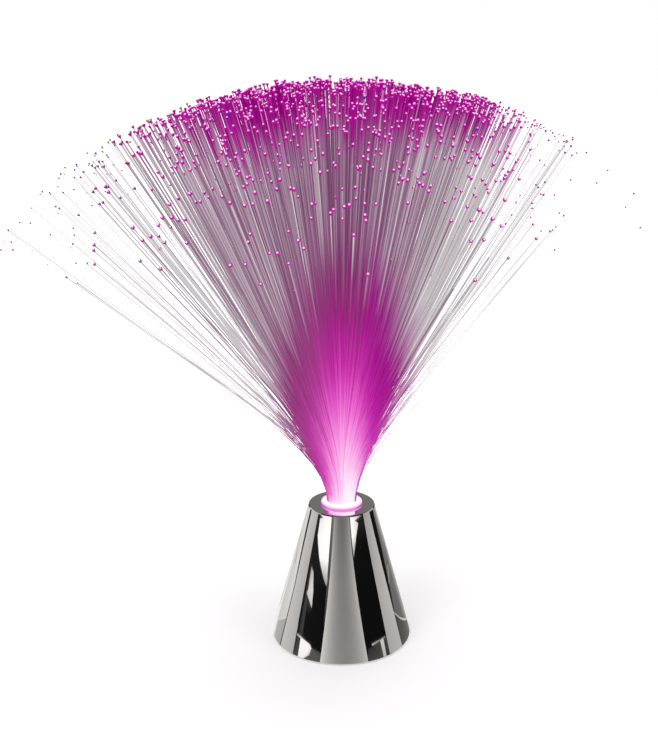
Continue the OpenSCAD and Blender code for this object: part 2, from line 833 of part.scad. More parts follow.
// An insulated wire between two ends, which leaves each end along its handle
module wire(from, from_handle, to, to_handle) {
    sides = 6;
    count = 13;
    path = [for (k = [0:count - 1]) bend(from, from_handle, to, to_handle, k / (count - 1))];
    rings = [for (k = [0:count - 1])
        let(along = unit(path[min(k + 1, count - 1)] - path[max(k - 1, 0)]),
            across = unit(cross(along, cross(to - from, [0, 0, 1]))), third = cross(along, across))
        ring(path[k], across, third, wire_d / 2, sides)];
    polyhedron([for (r = rings) each r], tube_faces(count, sides, 0));
}

module wire_battery_positive() {
    color("red") wire([contact_face + contact_t / 2, -cell_pitch, solder_tab_top + wire_end_gap],
        [0, 0, short_wire_lead],
        [terminal_pitch, switch_y, can_top + terminal_h + wire_end_gap], [0, 0, short_wire_lead]);
}

module wire_switched_positive() {
    pad_y = -11;
    color("orange") wire([0, switch_y, can_top + terminal_h + wire_end_gap],
        [0, 0, long_wire_lead], [0, pad_y, board_z - wire_end_gap], [0, 0, -long_wire_lead]);
}

module wire_negative() {
    pad_x = -9;
    pad_y = 6;
    color("black") wire([-contact_face - contact_t / 2, cell_pitch, solder_tab_top + wire_end_gap],
        [0, 0, long_wire_lead], [pad_x, pad_y, board_z - wire_end_gap], [0, 0, -long_wire_lead]);
}

module collar() {
    edge_x = collar_d / 2 - collar_edge_r;
    groove_r = sleeve_r - clip_groove;
    color("pink") rotate_extrude() {
        polygon([[collar_bore_r, sleeve_z], [sleeve_r, sleeve_z],
            [sleeve_r, clip_z - hair], [groove_r, clip_z - hair],
            [groove_r, clip_z + clip_t + hair], [sleeve_r, clip_z + clip_t + hair],
            [sleeve_r, collar_z], [collar_d / 2, collar_z], [collar_d / 2, collar_top - collar_edge_r],
            [edge_x, collar_top], [collar_bore_r, collar_top]]);
        translate([edge_x, collar_top - collar_edge_r]) circle(r = collar_edge_r);
    }
}

// A flat ring with a gap, which springs into the collar's groove
module collar_clip() {
    clip_opening = 60;
    inner_r = sleeve_r - clip_groove + hair;
    color("silver") translate([0, 0, clip_z])
        rotate([0, 0, 90 + clip_opening / 2]) rotate_extrude(angle = 360 - clip_opening)
            translate([inner_r, 0]) square([clip_r - inner_r, clip_t]);
}

module ferrule() {
    bore = bundle_d / 2 + ferrule_gap;
    edge = 0.2;
    color("plum") rotate_extrude()
        polygon([[bore, ferrule_z], [ferrule_r, ferrule_z], [ferrule_r, collar_top],
            [ferrule_r + lip_w, collar_top], [ferrule_r + lip_w, ferrule_top - edge],
            [ferrule_r + lip_w - edge, ferrule_top], [bore, ferrule_top]]);
}

module fiber_core() {
    color("violet") post(bundle_d / 2, ferrule_z, slice_top - slice_t);
}

// Every strand in one surface: strand after strand, and ring after ring up each
module strands(first, last, stations) {
    count = len(stations);
    points = [for (n = [first:last], s = stations) each
        strand_ring((n + 0.5) / strand_count, n * golden, s)];
    faces = [for (n = [0:last - first]) each tube_faces(count, strand_sides, n * count * strand_sides)];
    polyhedron(points, faces);
}

module fiber_spray() {
    straight_count = round(straight_share * strand_count);
    color("magenta") union() {
        translate([0, 0, slice_top - slice_t]) cylinder(r = bundle_d / 2, h = slice_t, $fn = 36);
        strands(0, straight_count - 1, straight_stations);
        strands(straight_count, strand_count - 1, curved_stations);
    }
}

chrome_shell();
base_plate();
foot_ring();
case_screws();
battery_door();
battery_1();
battery_2();
battery_3();
contact_positive();
contact_negative();
contact_link_left();
contact_link_right();
battery_springs();
switch_can();
switch_wafer();
switch_terminals();
switch_knob();
switch_wiper();
switch_screws();
light_holder();
holder_screws();
led_board();
board_screws();
led_red();
led_green();
led_blue();
control_chip();
resistors();
wire_battery_positive();
wire_switched_positive();
wire_negative();
collar();
collar_clip();
ferrule();
fiber_core();
fiber_spray();
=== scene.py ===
"""Fiber optic lamp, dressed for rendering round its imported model.

Every length is in metres unless its name or its class says otherwise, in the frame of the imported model: the
origin is the centre of the face that the lamp stands on, +Z runs up its axis and -Y points at the viewer.
Screen colours and greys run from 0 to 255.
"""

import json
import logging
import math
from dataclasses import dataclass, field
from enum import Enum

import bpy
import numpy as np
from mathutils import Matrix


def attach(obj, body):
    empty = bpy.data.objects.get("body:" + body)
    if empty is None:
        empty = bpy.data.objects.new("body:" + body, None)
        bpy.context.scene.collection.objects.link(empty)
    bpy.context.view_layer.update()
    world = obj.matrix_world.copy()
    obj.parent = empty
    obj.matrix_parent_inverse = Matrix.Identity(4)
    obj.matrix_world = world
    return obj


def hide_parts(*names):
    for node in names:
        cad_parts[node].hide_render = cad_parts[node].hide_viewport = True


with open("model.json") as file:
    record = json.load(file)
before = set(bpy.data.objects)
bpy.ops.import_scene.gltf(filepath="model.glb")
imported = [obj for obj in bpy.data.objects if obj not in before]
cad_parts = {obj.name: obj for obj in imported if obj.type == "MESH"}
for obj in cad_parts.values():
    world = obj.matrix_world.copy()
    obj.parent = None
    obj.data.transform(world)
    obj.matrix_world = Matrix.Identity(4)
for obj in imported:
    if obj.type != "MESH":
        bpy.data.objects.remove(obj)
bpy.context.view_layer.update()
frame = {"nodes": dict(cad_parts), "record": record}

LOG = logging.getLogger("fiber_lamp")
MM = 0.001
GOLDEN_ANGLE = math.radians(137.50776)
# Places of a Mix node's colour sockets, whose names each stand for several sockets
MIX_SHARE, MIX_FIRST, MIX_SECOND, MIX_RESULT = 0, 6, 7, 2

Colour = tuple[float, float, float]
Span = tuple[float, float]
Stops = tuple[tuple[float, Colour], ...]


class Pattern(Enum):
    """How the grain of a finish runs."""

    EVEN = (1.0, 1.0, 1.0)
    ALONG_X = (0.06, 1.0, 1.0)
    ALONG_Y = (1.0, 0.06, 1.0)


# ---------------------------------------------------------------------------------------------------------
# Colour and number helpers


def linear(colour: np.ndarray | tuple) -> np.ndarray:
    """Linear light of a screen colour, by the usual sRGB curve."""
    c = np.asarray(colour, float) / 255.0
    return np.where(c <= 0.04045, c / 12.92, ((c + 0.055) / 1.055) ** 2.4)


def smooth_step(values: np.ndarray, low: float, high: float) -> np.ndarray:
    """0 below low, 1 above high, and 3t^2 - 2t^3 between them."""
    t = np.clip((values - low) / (high - low), 0.0, 1.0)
    return t * t * (3.0 - 2.0 * t)


def either_side(values: np.ndarray, left: Span, right: Span) -> np.ndarray:
    """The larger of two smooth steps: over left as values go down from 0, and over right as they go up."""
    return np.maximum(smooth_step(-values, *left), smooth_step(values, *right))


def blend_of(first: np.ndarray | Colour, second: np.ndarray | Colour, share: np.ndarray | float) -> np.ndarray:
    """first where share is 0 and second where it is 1, over a last axis of three channels."""
    first, second = np.asarray(first, float), np.asarray(second, float)
    return first + (second - first) * np.asarray(share)[..., None]


def ramp(values: np.ndarray, stops: Stops) -> np.ndarray:
    """Screen colours read off a ramp.

    Args:
        values: Places on the ramp, of any shape.
        stops: Pairs of a place and its screen colour, in rising order.

    Returns:
        Screen colours, with one more axis of three channels.
    """
    places = [place for place, _ in stops]
    return np.stack([np.interp(values, places, [c[k] for _, c in stops]) for k in range(3)], -1)


def bearing(angle: np.ndarray) -> np.ndarray:
    """Level unit vectors at angles from +X, as rows of (cos, sin)."""
    return np.stack([np.cos(angle), np.sin(angle)], -1)


# ---------------------------------------------------------------------------------------------------------
# Surfaces


@dataclass
class Surface:
    """Points and faces of a mesh, with any colours its points carry."""

    points: np.ndarray
    faces: np.ndarray
    colours: dict[str, np.ndarray] = field(default_factory=dict)

    def outward(self) -> "Surface":
        """The same closed surface with its faces turned outward.

        Six times the signed volume is the sum over triangles of a . (b x c), and it is positive where the
        faces' right-hand normals point out.

        Returns:
            This surface, turned if it had to be.
        """
        p, f = self.points, self.faces
        fans = [(0, k, k + 1) for k in range(1, f.shape[1] - 1)]
        volume = sum(np.einsum("ij,ij->", p[f[:, a]], np.cross(p[f[:, b]], p[f[:, c]])) for a, b, c in fans)
        if volume < 0:
            self.faces = f[:, ::-1].copy()
        return self

    def make(self, name: str, smooth: bool = True) -> bpy.types.Object:
        """Puts the surface into a new object at the origin.

        Args:
            name: The object's name.
            smooth: Whether its faces are shaded smooth.

        Returns:
            The new object.
        """
        mesh = bpy.data.meshes.new(name)
        corners = self.faces.shape[1]
        mesh.vertices.add(len(self.points))
        mesh.vertices.foreach_set("co", self.points.astype(np.float32).ravel())
        mesh.loops.add(self.faces.size)
        mesh.loops.foreach_set("vertex_index", self.faces.astype(np.int32).ravel())
        mesh.polygons.add(len(self.faces))
        mesh.polygons.foreach_set("loop_start", np.arange(0, self.faces.size, corners, dtype=np.int32))
        mesh.polygons.foreach_set("use_smooth", np.full(len(self.faces), smooth))
        mesh.update(calc_edges=True)
        for title, values in self.colours.items():
            rgba = np.concatenate([values.reshape(-1, 3), np.ones((len(self.points), 1))], 1)
            mesh.color_attributes.new(title, "FLOAT_COLOR", "POINT").data.foreach_set(
                "color", rgba.astype(np.float32).ravel())
        mesh.validate()
        obj = bpy.data.objects.new(name, mesh)
        bpy.context.scene.collection.objects.link(obj)
        return obj


def rounded(corners: list[tuple[float, float, float]], steps: int = 4) -> np.ndarray:
    """A closed profile whose corners are rounded.

    Each corner (r, z, radius) becomes an arc between the points that lie cut = radius / tan(half the
    corner's angle) along its two sides. One more point stands a little further along each side, so that the
    long faces between corners stay true in smooth shading.

    Args:
        corners: Corners as (distance from the axis, height, rounding radius), in order.
        steps: Points on an arc, less one.

    Returns:
        Points of the profile, as rows of (distance from the axis, height).
    """
    guard_share = 0.6
    spots = np.array([c[:2] for c in corners], float)
    out = []
    for i, (_, _, radius) in enumerate(corners):
        here, before, after = spots[i], spots[i - 1], spots[(i + 1) % len(spots)]
        a = (before - here) / np.linalg.norm(before - here)
        b = (after - here) / np.linalg.norm(after - here)
        half = math.acos(np.clip(a @ b, -1.0, 1.0)) / 2.0
        cut = radius / math.tan(half)
        guard = cut + guard_share * radius
        middle = here + (a + b) / np.linalg.norm(a + b) * radius / math.sin(half)
        start, end = here + a * cut - middle, here + b * cut - middle
        turn = math.acos(np.clip(start @ end / radius ** 2, -1.0, 1.0))
        t = np.linspace(0.0, 1.0, steps + 1)[:, None]
        arc = (np.sin((1 - t) * turn) * start + np.sin(t * turn) * end) / math.sin(turn)
        out += [here + a * guard, *(middle + arc), here + b * guard]
    return np.array(out)


def lathe(profile: np.ndarray, segments: int) -> Surface:
    """A closed profile turned round the Z axis.

    Point (i, k) is (r_i cos a_k, r_i sin a_k, z_i), where a_k is k shares of a full turn.

    Args:
        profile: Rows of (distance from the axis, height), the last of which joins the first.
        segments: Faces round the axis.

    Returns:
        The closed surface, facing outward.
    """
    angle = np.arange(segments) * 2 * np.pi / segments
    r, z = profile[:, :1], profile[:, 1:]
    grid = np.stack([r * np.cos(angle), r * np.sin(angle), np.broadcast_to(z, (len(r), segments))], -1)
    i, k = np.meshgrid(np.arange(len(r)), np.arange(segments), indexing="ij")
    j, m = (i + 1) % len(r), (k + 1) % segments
    faces = np.stack([i * segments + k, i * segments + m, j * segments + m, j * segments + k], -1)
    return Surface(grid.reshape(-1, 3), faces.reshape(-1, 4)).outward()


def tubes(centres: np.ndarray, across: np.ndarray, side: np.ndarray, radii: np.ndarray, sides: int) -> Surface:
    """Many closed tubes in one surface, each through its own row of rings.

    Point (n, i, k) is centre + radius (cos a_k across + sin a_k side), and each end is closed by a fan of
    triangles that meet in the end ring's first point.

    Args:
        centres: Ring centres, shaped (tubes, rings, 3).
        across: Unit vectors square to the tube, of the same shape.
        side: Unit vectors square to both, of the same shape.
        radii: Ring radii, shaped (tubes, rings).
        sides: Faces round a tube.

    Returns:
        One surface of triangles.
    """
    count, rings = radii.shape
    angle = np.arange(sides) * 2 * np.pi / sides
    spokes = np.cos(angle)[:, None] * across[:, :, None] + np.sin(angle)[:, None] * side[:, :, None]
    points = centres[:, :, None] + radii[:, :, None, None] * spokes
    i, k = np.meshgrid(np.arange(rings - 1), np.arange(sides), indexing="ij")
    a, b = (i * sides + k).ravel(), (i * sides + (k + 1) % sides).ravel()
    k = np.arange(1, sides - 1)
    end = (rings - 1) * sides
    one = np.concatenate([
        np.stack([a, b, b + sides], 1), np.stack([a, b + sides, a + sides], 1),
        np.stack([0 * k, k + 1, k], 1), np.stack([0 * k + end, end + k, end + k + 1], 1)])
    faces = one[None] + (np.arange(count) * rings * sides)[:, None, None]
    return Surface(points.reshape(-1, 3), faces.reshape(-1, 3)).outward()


# ---------------------------------------------------------------------------------------------------------
# Finishes


@dataclass(frozen=True)
class Finish:
    """A finish in the numbers that its material is built from. Its colour is a screen colour."""

    name: str
    colour: Colour
    roughness: float
    metallic: float = 0.0
    shade: float = 0.12
    spread: float = 0.1
    grain: float = 1800.0
    relief_mm: float = 0.01
    pattern: Pattern = Pattern.EVEN
    coat: float = 0.0
    glow: float = 0.0


FINISHES = (
    Finish("black_plastic", (34, 34, 36), 0.5, shade=0.18, grain=2600, relief_mm=0.03),
    Finish("foot_foam", (38, 37, 37), 0.92, shade=0.35, grain=1500, relief_mm=0.08),
    Finish("screw_steel", (188, 189, 193), 0.3, 1.0, shade=0.06, grain=2400, relief_mm=0.002),
    Finish("cell_wrap", (196, 140, 58), 0.28, 0.55, shade=0.08, grain=500, pattern=Pattern.ALONG_X, coat=0.4),
    Finish("contact_steel", (206, 207, 210), 0.3, 1.0, 0.05, 0.08, 2200, 0.002, Pattern.ALONG_Y),
    Finish("contact_brass", (206, 172, 104), 0.3, 1.0, shade=0.06, grain=2200, relief_mm=0.002),
    Finish("board_brown", (112, 72, 42), 0.7, shade=0.3, grain=1600, pattern=Pattern.ALONG_X),
    Finish("knob_plastic", (44, 44, 47), 0.38, grain=2200),
    Finish("white_plastic", (224, 224, 218), 0.36, shade=0.05, grain=1500),
    Finish("led_red", (245, 60, 60), 0.08, shade=0.06, grain=400, glow=1.4),
    Finish("led_green", (70, 235, 110), 0.08, shade=0.06, grain=400, glow=1.0),
    Finish("led_blue", (80, 110, 250), 0.08, shade=0.06, grain=400, glow=1.4),
    Finish("chip_black", (30, 30, 31), 0.55, shade=0.2, grain=3200, relief_mm=0.02),
    Finish("wire_red", (190, 36, 34), 0.34, shade=0.1, grain=700),
    Finish("wire_orange", (222, 118, 36), 0.34, shade=0.1, grain=700),
    Finish("wire_black", (32, 32, 34), 0.34, shade=0.1, grain=700),
)
PLATING = Finish("chrome_shell", (243, 243, 244), 0.035, 1.0, 0.015, 0.03, 70, 0.004)
SOLDER_MASK = Finish("board_green", (24, 96, 54), 0.3, shade=0.1, grain=900)
# Finishes whose colour is carried by points. White leaves that colour as it is.
LIT_PLASTICS = tuple(Finish(slot, (255, 255, 255), 0.22, shade=0.03, grain=500, relief_mm=0.004)
                     for slot in ("collar_plastic", "ferrule_plastic"))
CLEAR_FIBER = Finish("fiber_plastic", (255, 255, 255), 0.4, 0.0, 0.05, 0.05, 300, 0.001)
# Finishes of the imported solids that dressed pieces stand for
NODE_FINISHES = tuple(
    (slot, Finish(slot + "_node", colour, 0.3, shade=0.05, grain=500, glow=0.8))
    for slot, colour in (("collar_plastic", (255, 190, 236)), ("ferrule_plastic", (255, 220, 244)),
                         ("fiber_plastic", (250, 150, 226))))


@dataclass(frozen=True)
class Bench:
    """Builds materials. The node group that most of them share is made once."""

    # Detail of the fine noise, and scale of the broad noise as a share of the fine one's
    fine_detail: float = 3.0
    broad_share: float = 0.04
    # Copper tracks on the board: how many to a metre, the edge of one as a share of that pitch, and colour
    track_scale: float = 220.0
    track_edge: Span = (0.05, 0.08)
    track_colour: Colour = (70, 150, 92)

    def __post_init__(self) -> None:
        """Makes the shared group."""
        self._grain_group()

    def _grain_group(self) -> None:
        """Makes the group surface_grain, which varies a colour and a roughness with two sizes of noise.

        Its Height is the fine noise, for a Bump node.
        """
        tree = bpy.data.node_groups.new("surface_grain", "ShaderNodeTree")
        for name, kind in (("Vector", "Vector"), ("Colour", "Color"), ("Grain", "Float"), ("Shade", "Float"),
                           ("Roughness", "Float"), ("Spread", "Float")):
            tree.interface.new_socket(name, in_out="INPUT", socket_type="NodeSocket" + kind)
        for name, kind in (("Colour", "Color"), ("Roughness", "Float"), ("Height", "Float")):
            tree.interface.new_socket(name, in_out="OUTPUT", socket_type="NodeSocket" + kind)
        nodes, links = tree.nodes, tree.links
        entry, out = nodes.new("NodeGroupInput"), nodes.new("NodeGroupOutput")
        fine, broad = nodes.new("ShaderNodeTexNoise"), nodes.new("ShaderNodeTexNoise")
        fine.inputs["Detail"].default_value = self.fine_detail
        coarse = math_node(tree, "MULTIPLY", entry.outputs["Grain"], self.broad_share)
        for noise, scale in ((fine, entry.outputs["Grain"]), (broad, coarse)):
            links.new(entry.outputs["Vector"], noise.inputs["Vector"])
            links.new(scale, noise.inputs["Scale"])
        both = math_node(tree, "ADD", fine.outputs["Fac"], broad.outputs["Fac"])
        swing = math_node(tree, "SUBTRACT", both, 1.0)
        shade = math_node(tree, "MULTIPLY_ADD", swing, entry.outputs["Shade"], 1.0)
        rough = math_node(tree, "MULTIPLY_ADD", swing, entry.outputs["Spread"], entry.outputs["Roughness"])
        tint = nodes.new("ShaderNodeVectorMath")
        tint.operation = "SCALE"
        links.new(entry.outputs["Colour"], tint.inputs[0])
        links.new(shade, tint.inputs["Scale"])
        links.new(tint.outputs[0], out.inputs["Colour"])
        links.new(rough, out.inputs["Roughness"])
        links.new(fine.outputs["Fac"], out.inputs["Height"])

    def _grained(self, tree: bpy.types.NodeTree, shader: bpy.types.Node, finish: Finish) -> bpy.types.Node:
        """Places surface_grain on Object coordinates and feeds roughness and bump from it.

        Args:
            tree: The material's tree.
            shader: Its Principled shader.
            finish: The finish to read the values from.

        Returns:
            The group's node, whose Colour is still free.
        """
        place_on, spot = tree.nodes.new("ShaderNodeMapping"), tree.nodes.new("ShaderNodeTexCoord")
        place_on.inputs["Scale"].default_value = finish.pattern.value
        group, bump = tree.nodes.new("ShaderNodeGroup"), tree.nodes.new("ShaderNodeBump")
        group.node_tree = bpy.data.node_groups["surface_grain"]
        for title, value in (("Colour", (*linear(finish.colour), 1.0)), ("Grain", finish.grain),
                             ("Shade", finish.shade), ("Roughness", finish.roughness),
                             ("Spread", finish.spread)):
            group.inputs[title].default_value = value
        bump.inputs["Distance"].default_value = finish.relief_mm * MM
        links = tree.links
        links.new(spot.outputs["Object"], place_on.inputs["Vector"])
        links.new(place_on.outputs["Vector"], group.inputs["Vector"])
        links.new(group.outputs["Roughness"], shader.inputs["Roughness"])
        links.new(group.outputs["Height"], bump.inputs["Height"])
        links.new(bump.outputs["Normal"], shader.inputs["Normal"])
        return group

    def finish(self, finish: Finish) -> bpy.types.Material:
        """A grained material of one colour.

        Args:
            finish: The finish to build.

        Returns:
            Its material.
        """
        material, tree, shader = new_material(finish.name)
        group = self._grained(tree, shader, finish)
        tree.links.new(group.outputs["Colour"], shader.inputs["Base Color"])
        shader.inputs["Metallic"].default_value = finish.metallic
        shader.inputs["Coat Weight"].default_value = finish.coat
        if finish.glow:
            tree.links.new(group.outputs["Colour"], shader.inputs["Emission Color"])
            shader.inputs["Emission Strength"].default_value = finish.glow
        return material

    def carried(self, finish: Finish, specular: float) -> bpy.types.Material:
        """A lit plastic whose own light and surface colour are carried by its points.

        The colour attribute "glow" is its light and "body" is its surface colour.

        Args:
            finish: Gives the roughness and grain.
            specular: Strength of the plastic's gloss.

        Returns:
            The material.
        """
        material, tree, shader = new_material(finish.name)
        group = self._grained(tree, shader, finish)
        for title, socket in (("glow", "Emission Color"), ("body", "Base Color")):
            source, mix = tree.nodes.new("ShaderNodeAttribute"), tree.nodes.new("ShaderNodeMix")
            source.attribute_name = title
            mix.data_type, mix.blend_type = "RGBA", "MULTIPLY"
            mix.inputs[MIX_SHARE].default_value = 1.0
            tree.links.new(source.outputs["Color"], mix.inputs[MIX_FIRST])
            tree.links.new(group.outputs["Colour"], mix.inputs[MIX_SECOND])
            tree.links.new(mix.outputs[MIX_RESULT], shader.inputs[socket])
        shader.inputs["Emission Strength"].default_value = 1.0
        shader.inputs["Specular IOR Level"].default_value = specular
        material.cycles.emission_sampling = "NONE"
        return material

    def board(self) -> bpy.types.Material:
        """Solder mask over copper tracks, which show as paler lines."""
        material, tree, shader = new_material(SOLDER_MASK.name)
        group = self._grained(tree, shader, SOLDER_MASK)
        tracks, edge, mix = (tree.nodes.new("ShaderNode" + kind) for kind in ("TexVoronoi", "ValToRGB", "Mix"))
        spot = next(n for n in tree.nodes if n.type == "TEX_COORD")
        tracks.feature = "DISTANCE_TO_EDGE"
        tracks.inputs["Scale"].default_value = self.track_scale
        for stop, position, level in zip(edge.color_ramp.elements, self.track_edge, (1, 0)):
            stop.position, stop.color = position, (level, level, level, 1)
        mix.data_type = "RGBA"
        mix.inputs[MIX_SECOND].default_value = (*linear(self.track_colour), 1.0)
        tree.links.new(spot.outputs["Object"], tracks.inputs["Vector"])
        tree.links.new(tracks.outputs["Distance"], edge.inputs["Fac"])
        tree.links.new(edge.outputs["Color"], mix.inputs[MIX_SHARE])
        tree.links.new(group.outputs["Colour"], mix.inputs[MIX_FIRST])
        tree.links.new(mix.outputs[MIX_RESULT], shader.inputs["Base Color"])
        return material


def math_node(tree: bpy.types.NodeTree, operation: str, *values: object) -> bpy.types.NodeSocket:
    """A Math node whose inputs are linked or set.

    Args:
        tree: The tree that gets the node.
        operation: Blender's name for the operation.
        values: Sockets or plain numbers, in the inputs' order.

    Returns:
        The node's result.
    """
    node = tree.nodes.new("ShaderNodeMath")
    node.operation = operation
    for socket, value in zip(node.inputs, values):
        if isinstance(value, bpy.types.NodeSocket):
            tree.links.new(value, socket)
        else:
            socket.default_value = value
    return node.outputs[0]


def new_material(name: str) -> tuple[bpy.types.Material, bpy.types.NodeTree, bpy.types.Node]:
    """A new material with its tree and its Principled shader."""
    material = bpy.data.materials.new(name)
    material.use_nodes = True
    return material, material.node_tree, material.node_tree.nodes["Principled BSDF"]


# ---------------------------------------------------------------------------------------------------------
# The lamp's pieces


def place(piece: bpy.types.Object, material: bpy.types.Material, body: str, slot: str, *nodes: str) -> None:
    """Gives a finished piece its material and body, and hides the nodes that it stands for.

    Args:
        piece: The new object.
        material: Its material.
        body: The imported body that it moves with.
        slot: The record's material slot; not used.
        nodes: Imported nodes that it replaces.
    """
    piece.data.materials.append(material)
    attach(piece, body)
    if nodes:
        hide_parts(*nodes)
    LOG.info("%s: %d faces, rides on %s", piece.name, len(piece.data.polygons), body)


@dataclass
class ChromeBase:
    """The mirror-finished cone and the foot that it stands on."""

    low_r: float = 42.0 * MM
    top_r: float = 19.5 * MM
    low_z: float = 1.2 * MM
    top_z: float = 85.0 * MM
    wall: float = 2.0 * MM
    top_wall: float = 2.4 * MM
    hole_r: float = 11.15 * MM
    top_edge: float = 0.8 * MM
    small_edge: float = 0.2 * MM
    foot_out: float = 38.8 * MM
    foot_in: float = 35.2 * MM
    foot_edge: float = 0.3 * MM
    segments: int = 384
    foot_segments: int = 192

    @property
    def taper(self) -> float:
        """How much the cone's radius falls for each unit of height."""
        return (self.low_r - self.top_r) / (self.top_z - self.low_z)

    def shell(self) -> Surface:
        """The hollow cone with its flat top, as one closed profile turned round the axis."""
        across = self.wall * math.hypot(1.0, self.taper)
        under = self.top_z - self.top_wall
        bore = self.low_r - self.taper * (under - self.low_z) - across
        edge = self.small_edge
        return lathe(rounded([
            (self.low_r, self.low_z, edge), (self.top_r, self.top_z, self.top_edge),
            (self.hole_r, self.top_z, edge), (self.hole_r, under, edge),
            (bore, under, edge), (self.low_r - across, self.low_z, edge)]), self.segments)

    def foot(self) -> Surface:
        """The foam ring under the cone, a rounded rectangle turned round the axis."""
        out, into, edge = self.foot_out, self.foot_in, self.foot_edge
        return lathe(rounded([(out, 0.0, edge), (out, self.low_z, edge), (into, self.low_z, edge),
                              (into, 0.0, edge)]), self.foot_segments)

    def build(self, bench: Bench, finishes: dict[str, bpy.types.Material]) -> None:
        """Makes and dresses the shell and the foot.

        Args:
            bench: Builds the plating.
            finishes: Materials by slot.
        """
        place(self.shell().make("chrome_cone"), bench.finish(PLATING), "base", "chrome_shell", "chrome_shell")
        place(self.foot().make("foam_foot"), finishes["foot_foam"], "base", "foot_foam", "foot_ring")


@dataclass
class Socket:
    """The turning collar on the cone and the sleeve of the fiber bundle that plugs into it."""

    bore: float = 9.58 * MM
    sleeve: float = 11.0 * MM
    ring: float = 12.15 * MM
    sleeve_z: float = 80.0 * MM
    ring_z: float = 85.1 * MM
    ring_top: float = 86.6 * MM
    clip_z: float = 81.35 * MM
    clip_top: float = 82.55 * MM
    groove: float = 10.45 * MM
    round_edge: float = 0.6 * MM
    edge: float = 0.12 * MM
    ferrule_bore: float = 8.9 * MM
    ferrule_r: float = 9.5 * MM
    lip_r: float = 10.3 * MM
    lip_edge: float = 0.3 * MM
    ferrule_z: float = 60.0 * MM
    lip_top: float = 87.3 * MM
    segments: int = 160
    # Colours of the light in the plastic: from the inside out, low down, to both sides and down the sleeve.
    # The deep tone to both sides is painted shade at the ring's left and right edges as the viewer sees them
    out_tones: Stops = ((0.0, (255, 250, 254)), (0.6, (255, 240, 252)), (1.0, (255, 214, 246)))
    low_tone: Colour = (238, 120, 212)
    side_shade_tone: Colour = (176, 24, 170)
    side_shade_strength: float = 0.8
    # Where the painted side shade comes in, as |x| / r
    side_shade_span: Span = (0.6, 1.0)
    sleeve_tones: tuple[Colour, Colour] = ((248, 176, 230), (206, 84, 180))
    # Where the sleeve's tones come in, as depth below the ring
    sleeve_span: Span = (-0.2 * MM, 0.4 * MM)
    body_share: float = 0.35
    gloss: float = 0.35

    def collar(self) -> Surface:
        """The ring on the top face with the sleeve and clip groove below it."""
        e = self.edge
        return lathe(rounded([
            (self.bore, self.sleeve_z, e), (self.sleeve, self.sleeve_z, e), (self.sleeve, self.clip_z, e),
            (self.groove, self.clip_z, e), (self.groove, self.clip_top, e), (self.sleeve, self.clip_top, e),
            (self.sleeve, self.ring_z, e), (self.ring, self.ring_z, e),
            (self.ring, self.ring_top, self.round_edge), (self.bore, self.ring_top, e)]), self.segments)

    def ferrule(self) -> Surface:
        """The thin sleeve round the bundle, with a lip that rests on the collar."""
        e = self.edge
        return lathe(rounded([
            (self.ferrule_bore, self.ferrule_z, e), (self.ferrule_r, self.ferrule_z, e),
            (self.ferrule_r, self.ring_top, e), (self.lip_r, self.ring_top, e),
            (self.lip_r, self.lip_top, self.lip_edge), (self.ferrule_bore, self.lip_top, e)]), self.segments)

    def light(self, surface: Surface) -> Surface:
        """Colours a ring by the light that comes through it.

        The plastic is nearly white on top and pink low on its outside, and a deep violet pink there to both
        sides as the viewer sees it, which is painted shade. Below the ring it is pink, and deeper the further
        down it goes.

        Args:
            surface: The ring to colour.

        Returns:
            The same surface with its glow and body.
        """
        x, y, z = surface.points.T
        r = np.hypot(x, y)
        outside = smooth_step(r, self.ferrule_r, self.ring)
        low = 1.0 - smooth_step(z, self.ring_z, self.ring_top)
        # Painted shade: deeper violet toward the ring's left and right edges, by |x|
        beside = smooth_step(np.abs(x) / np.maximum(r, MM), *self.side_shade_span) * outside
        tone = blend_of(ramp(outside, self.out_tones), self.low_tone, low * outside)
        tone = blend_of(tone, self.side_shade_tone, self.side_shade_strength * beside * low)
        depth = self.ring_z - z
        sleeve = blend_of(*self.sleeve_tones, smooth_step(depth, 0.0, self.ring_z - self.ferrule_z))
        tone = blend_of(tone, sleeve, smooth_step(depth, *self.sleeve_span))
        surface.colours["glow"] = linear(tone)
        surface.colours["body"] = linear(tone * self.body_share)
        return surface

    def build(self, bench: Bench) -> None:
        """Makes and dresses the collar and the ferrule."""
        for name, surface, body, node, lit in (
                ("glow_collar", self.collar(), "collar", "collar", LIT_PLASTICS[0]),
                ("bundle_sleeve", self.ferrule(), "spray", "ferrule", LIT_PLASTICS[1])):
            place(self.light(surface).make(name), bench.carried(lit, self.gloss), body, lit.name, node)


@dataclass(frozen=True)
class FiberBand:
    """One piece of the spray: the fibers between two shares of the roots, counted from the middle out.

    Its rings are the places of a stem's rings as shares of the stem. Fibers that bend more have more.
    """

    name: str
    low: float
    high: float
    rings: tuple[float, ...]


FIBER_BANDS = (
    FiberBand("upright_fibers", 0.0, 0.4, (0, 0.08, 0.2, 0.34, 0.5, 0.66, 0.8, 0.87, 0.93, 1)),
    FiberBand("leaning_fibers", 0.4, 0.82, (0, 0.05, 0.12, 0.2, 0.3, 0.42, 0.56, 0.7, 0.82, 0.88, 0.94, 1)),
    FiberBand("stray_fibers", 0.82, 1.0, (0, 0.03, 0.07, 0.115, 0.165, 0.225, 0.3, 0.4, 0.53, 0.7, 0.86, 1)),
)


# Each wash is painted shade laid over the fibers' colour
@dataclass(frozen=True)
class ShadeWash:
    """A screen colour laid over part of the fibers, with its full strength and the span it comes in over."""

    colour: Colour
    strength: float
    span: Span

    def over(self, colours: np.ndarray, spot: np.ndarray, mask: np.ndarray) -> np.ndarray:
        """Lays the painted shade over colours.

        Args:
            colours: Screen colours.
            spot: Where each stands along the span.
            mask: How much of the wash each may take, from 0 to 1.

        Returns:
            The washed screen colours.
        """
        return blend_of(colours, self.colour, self.strength * mask * smooth_step(spot, *self.span))


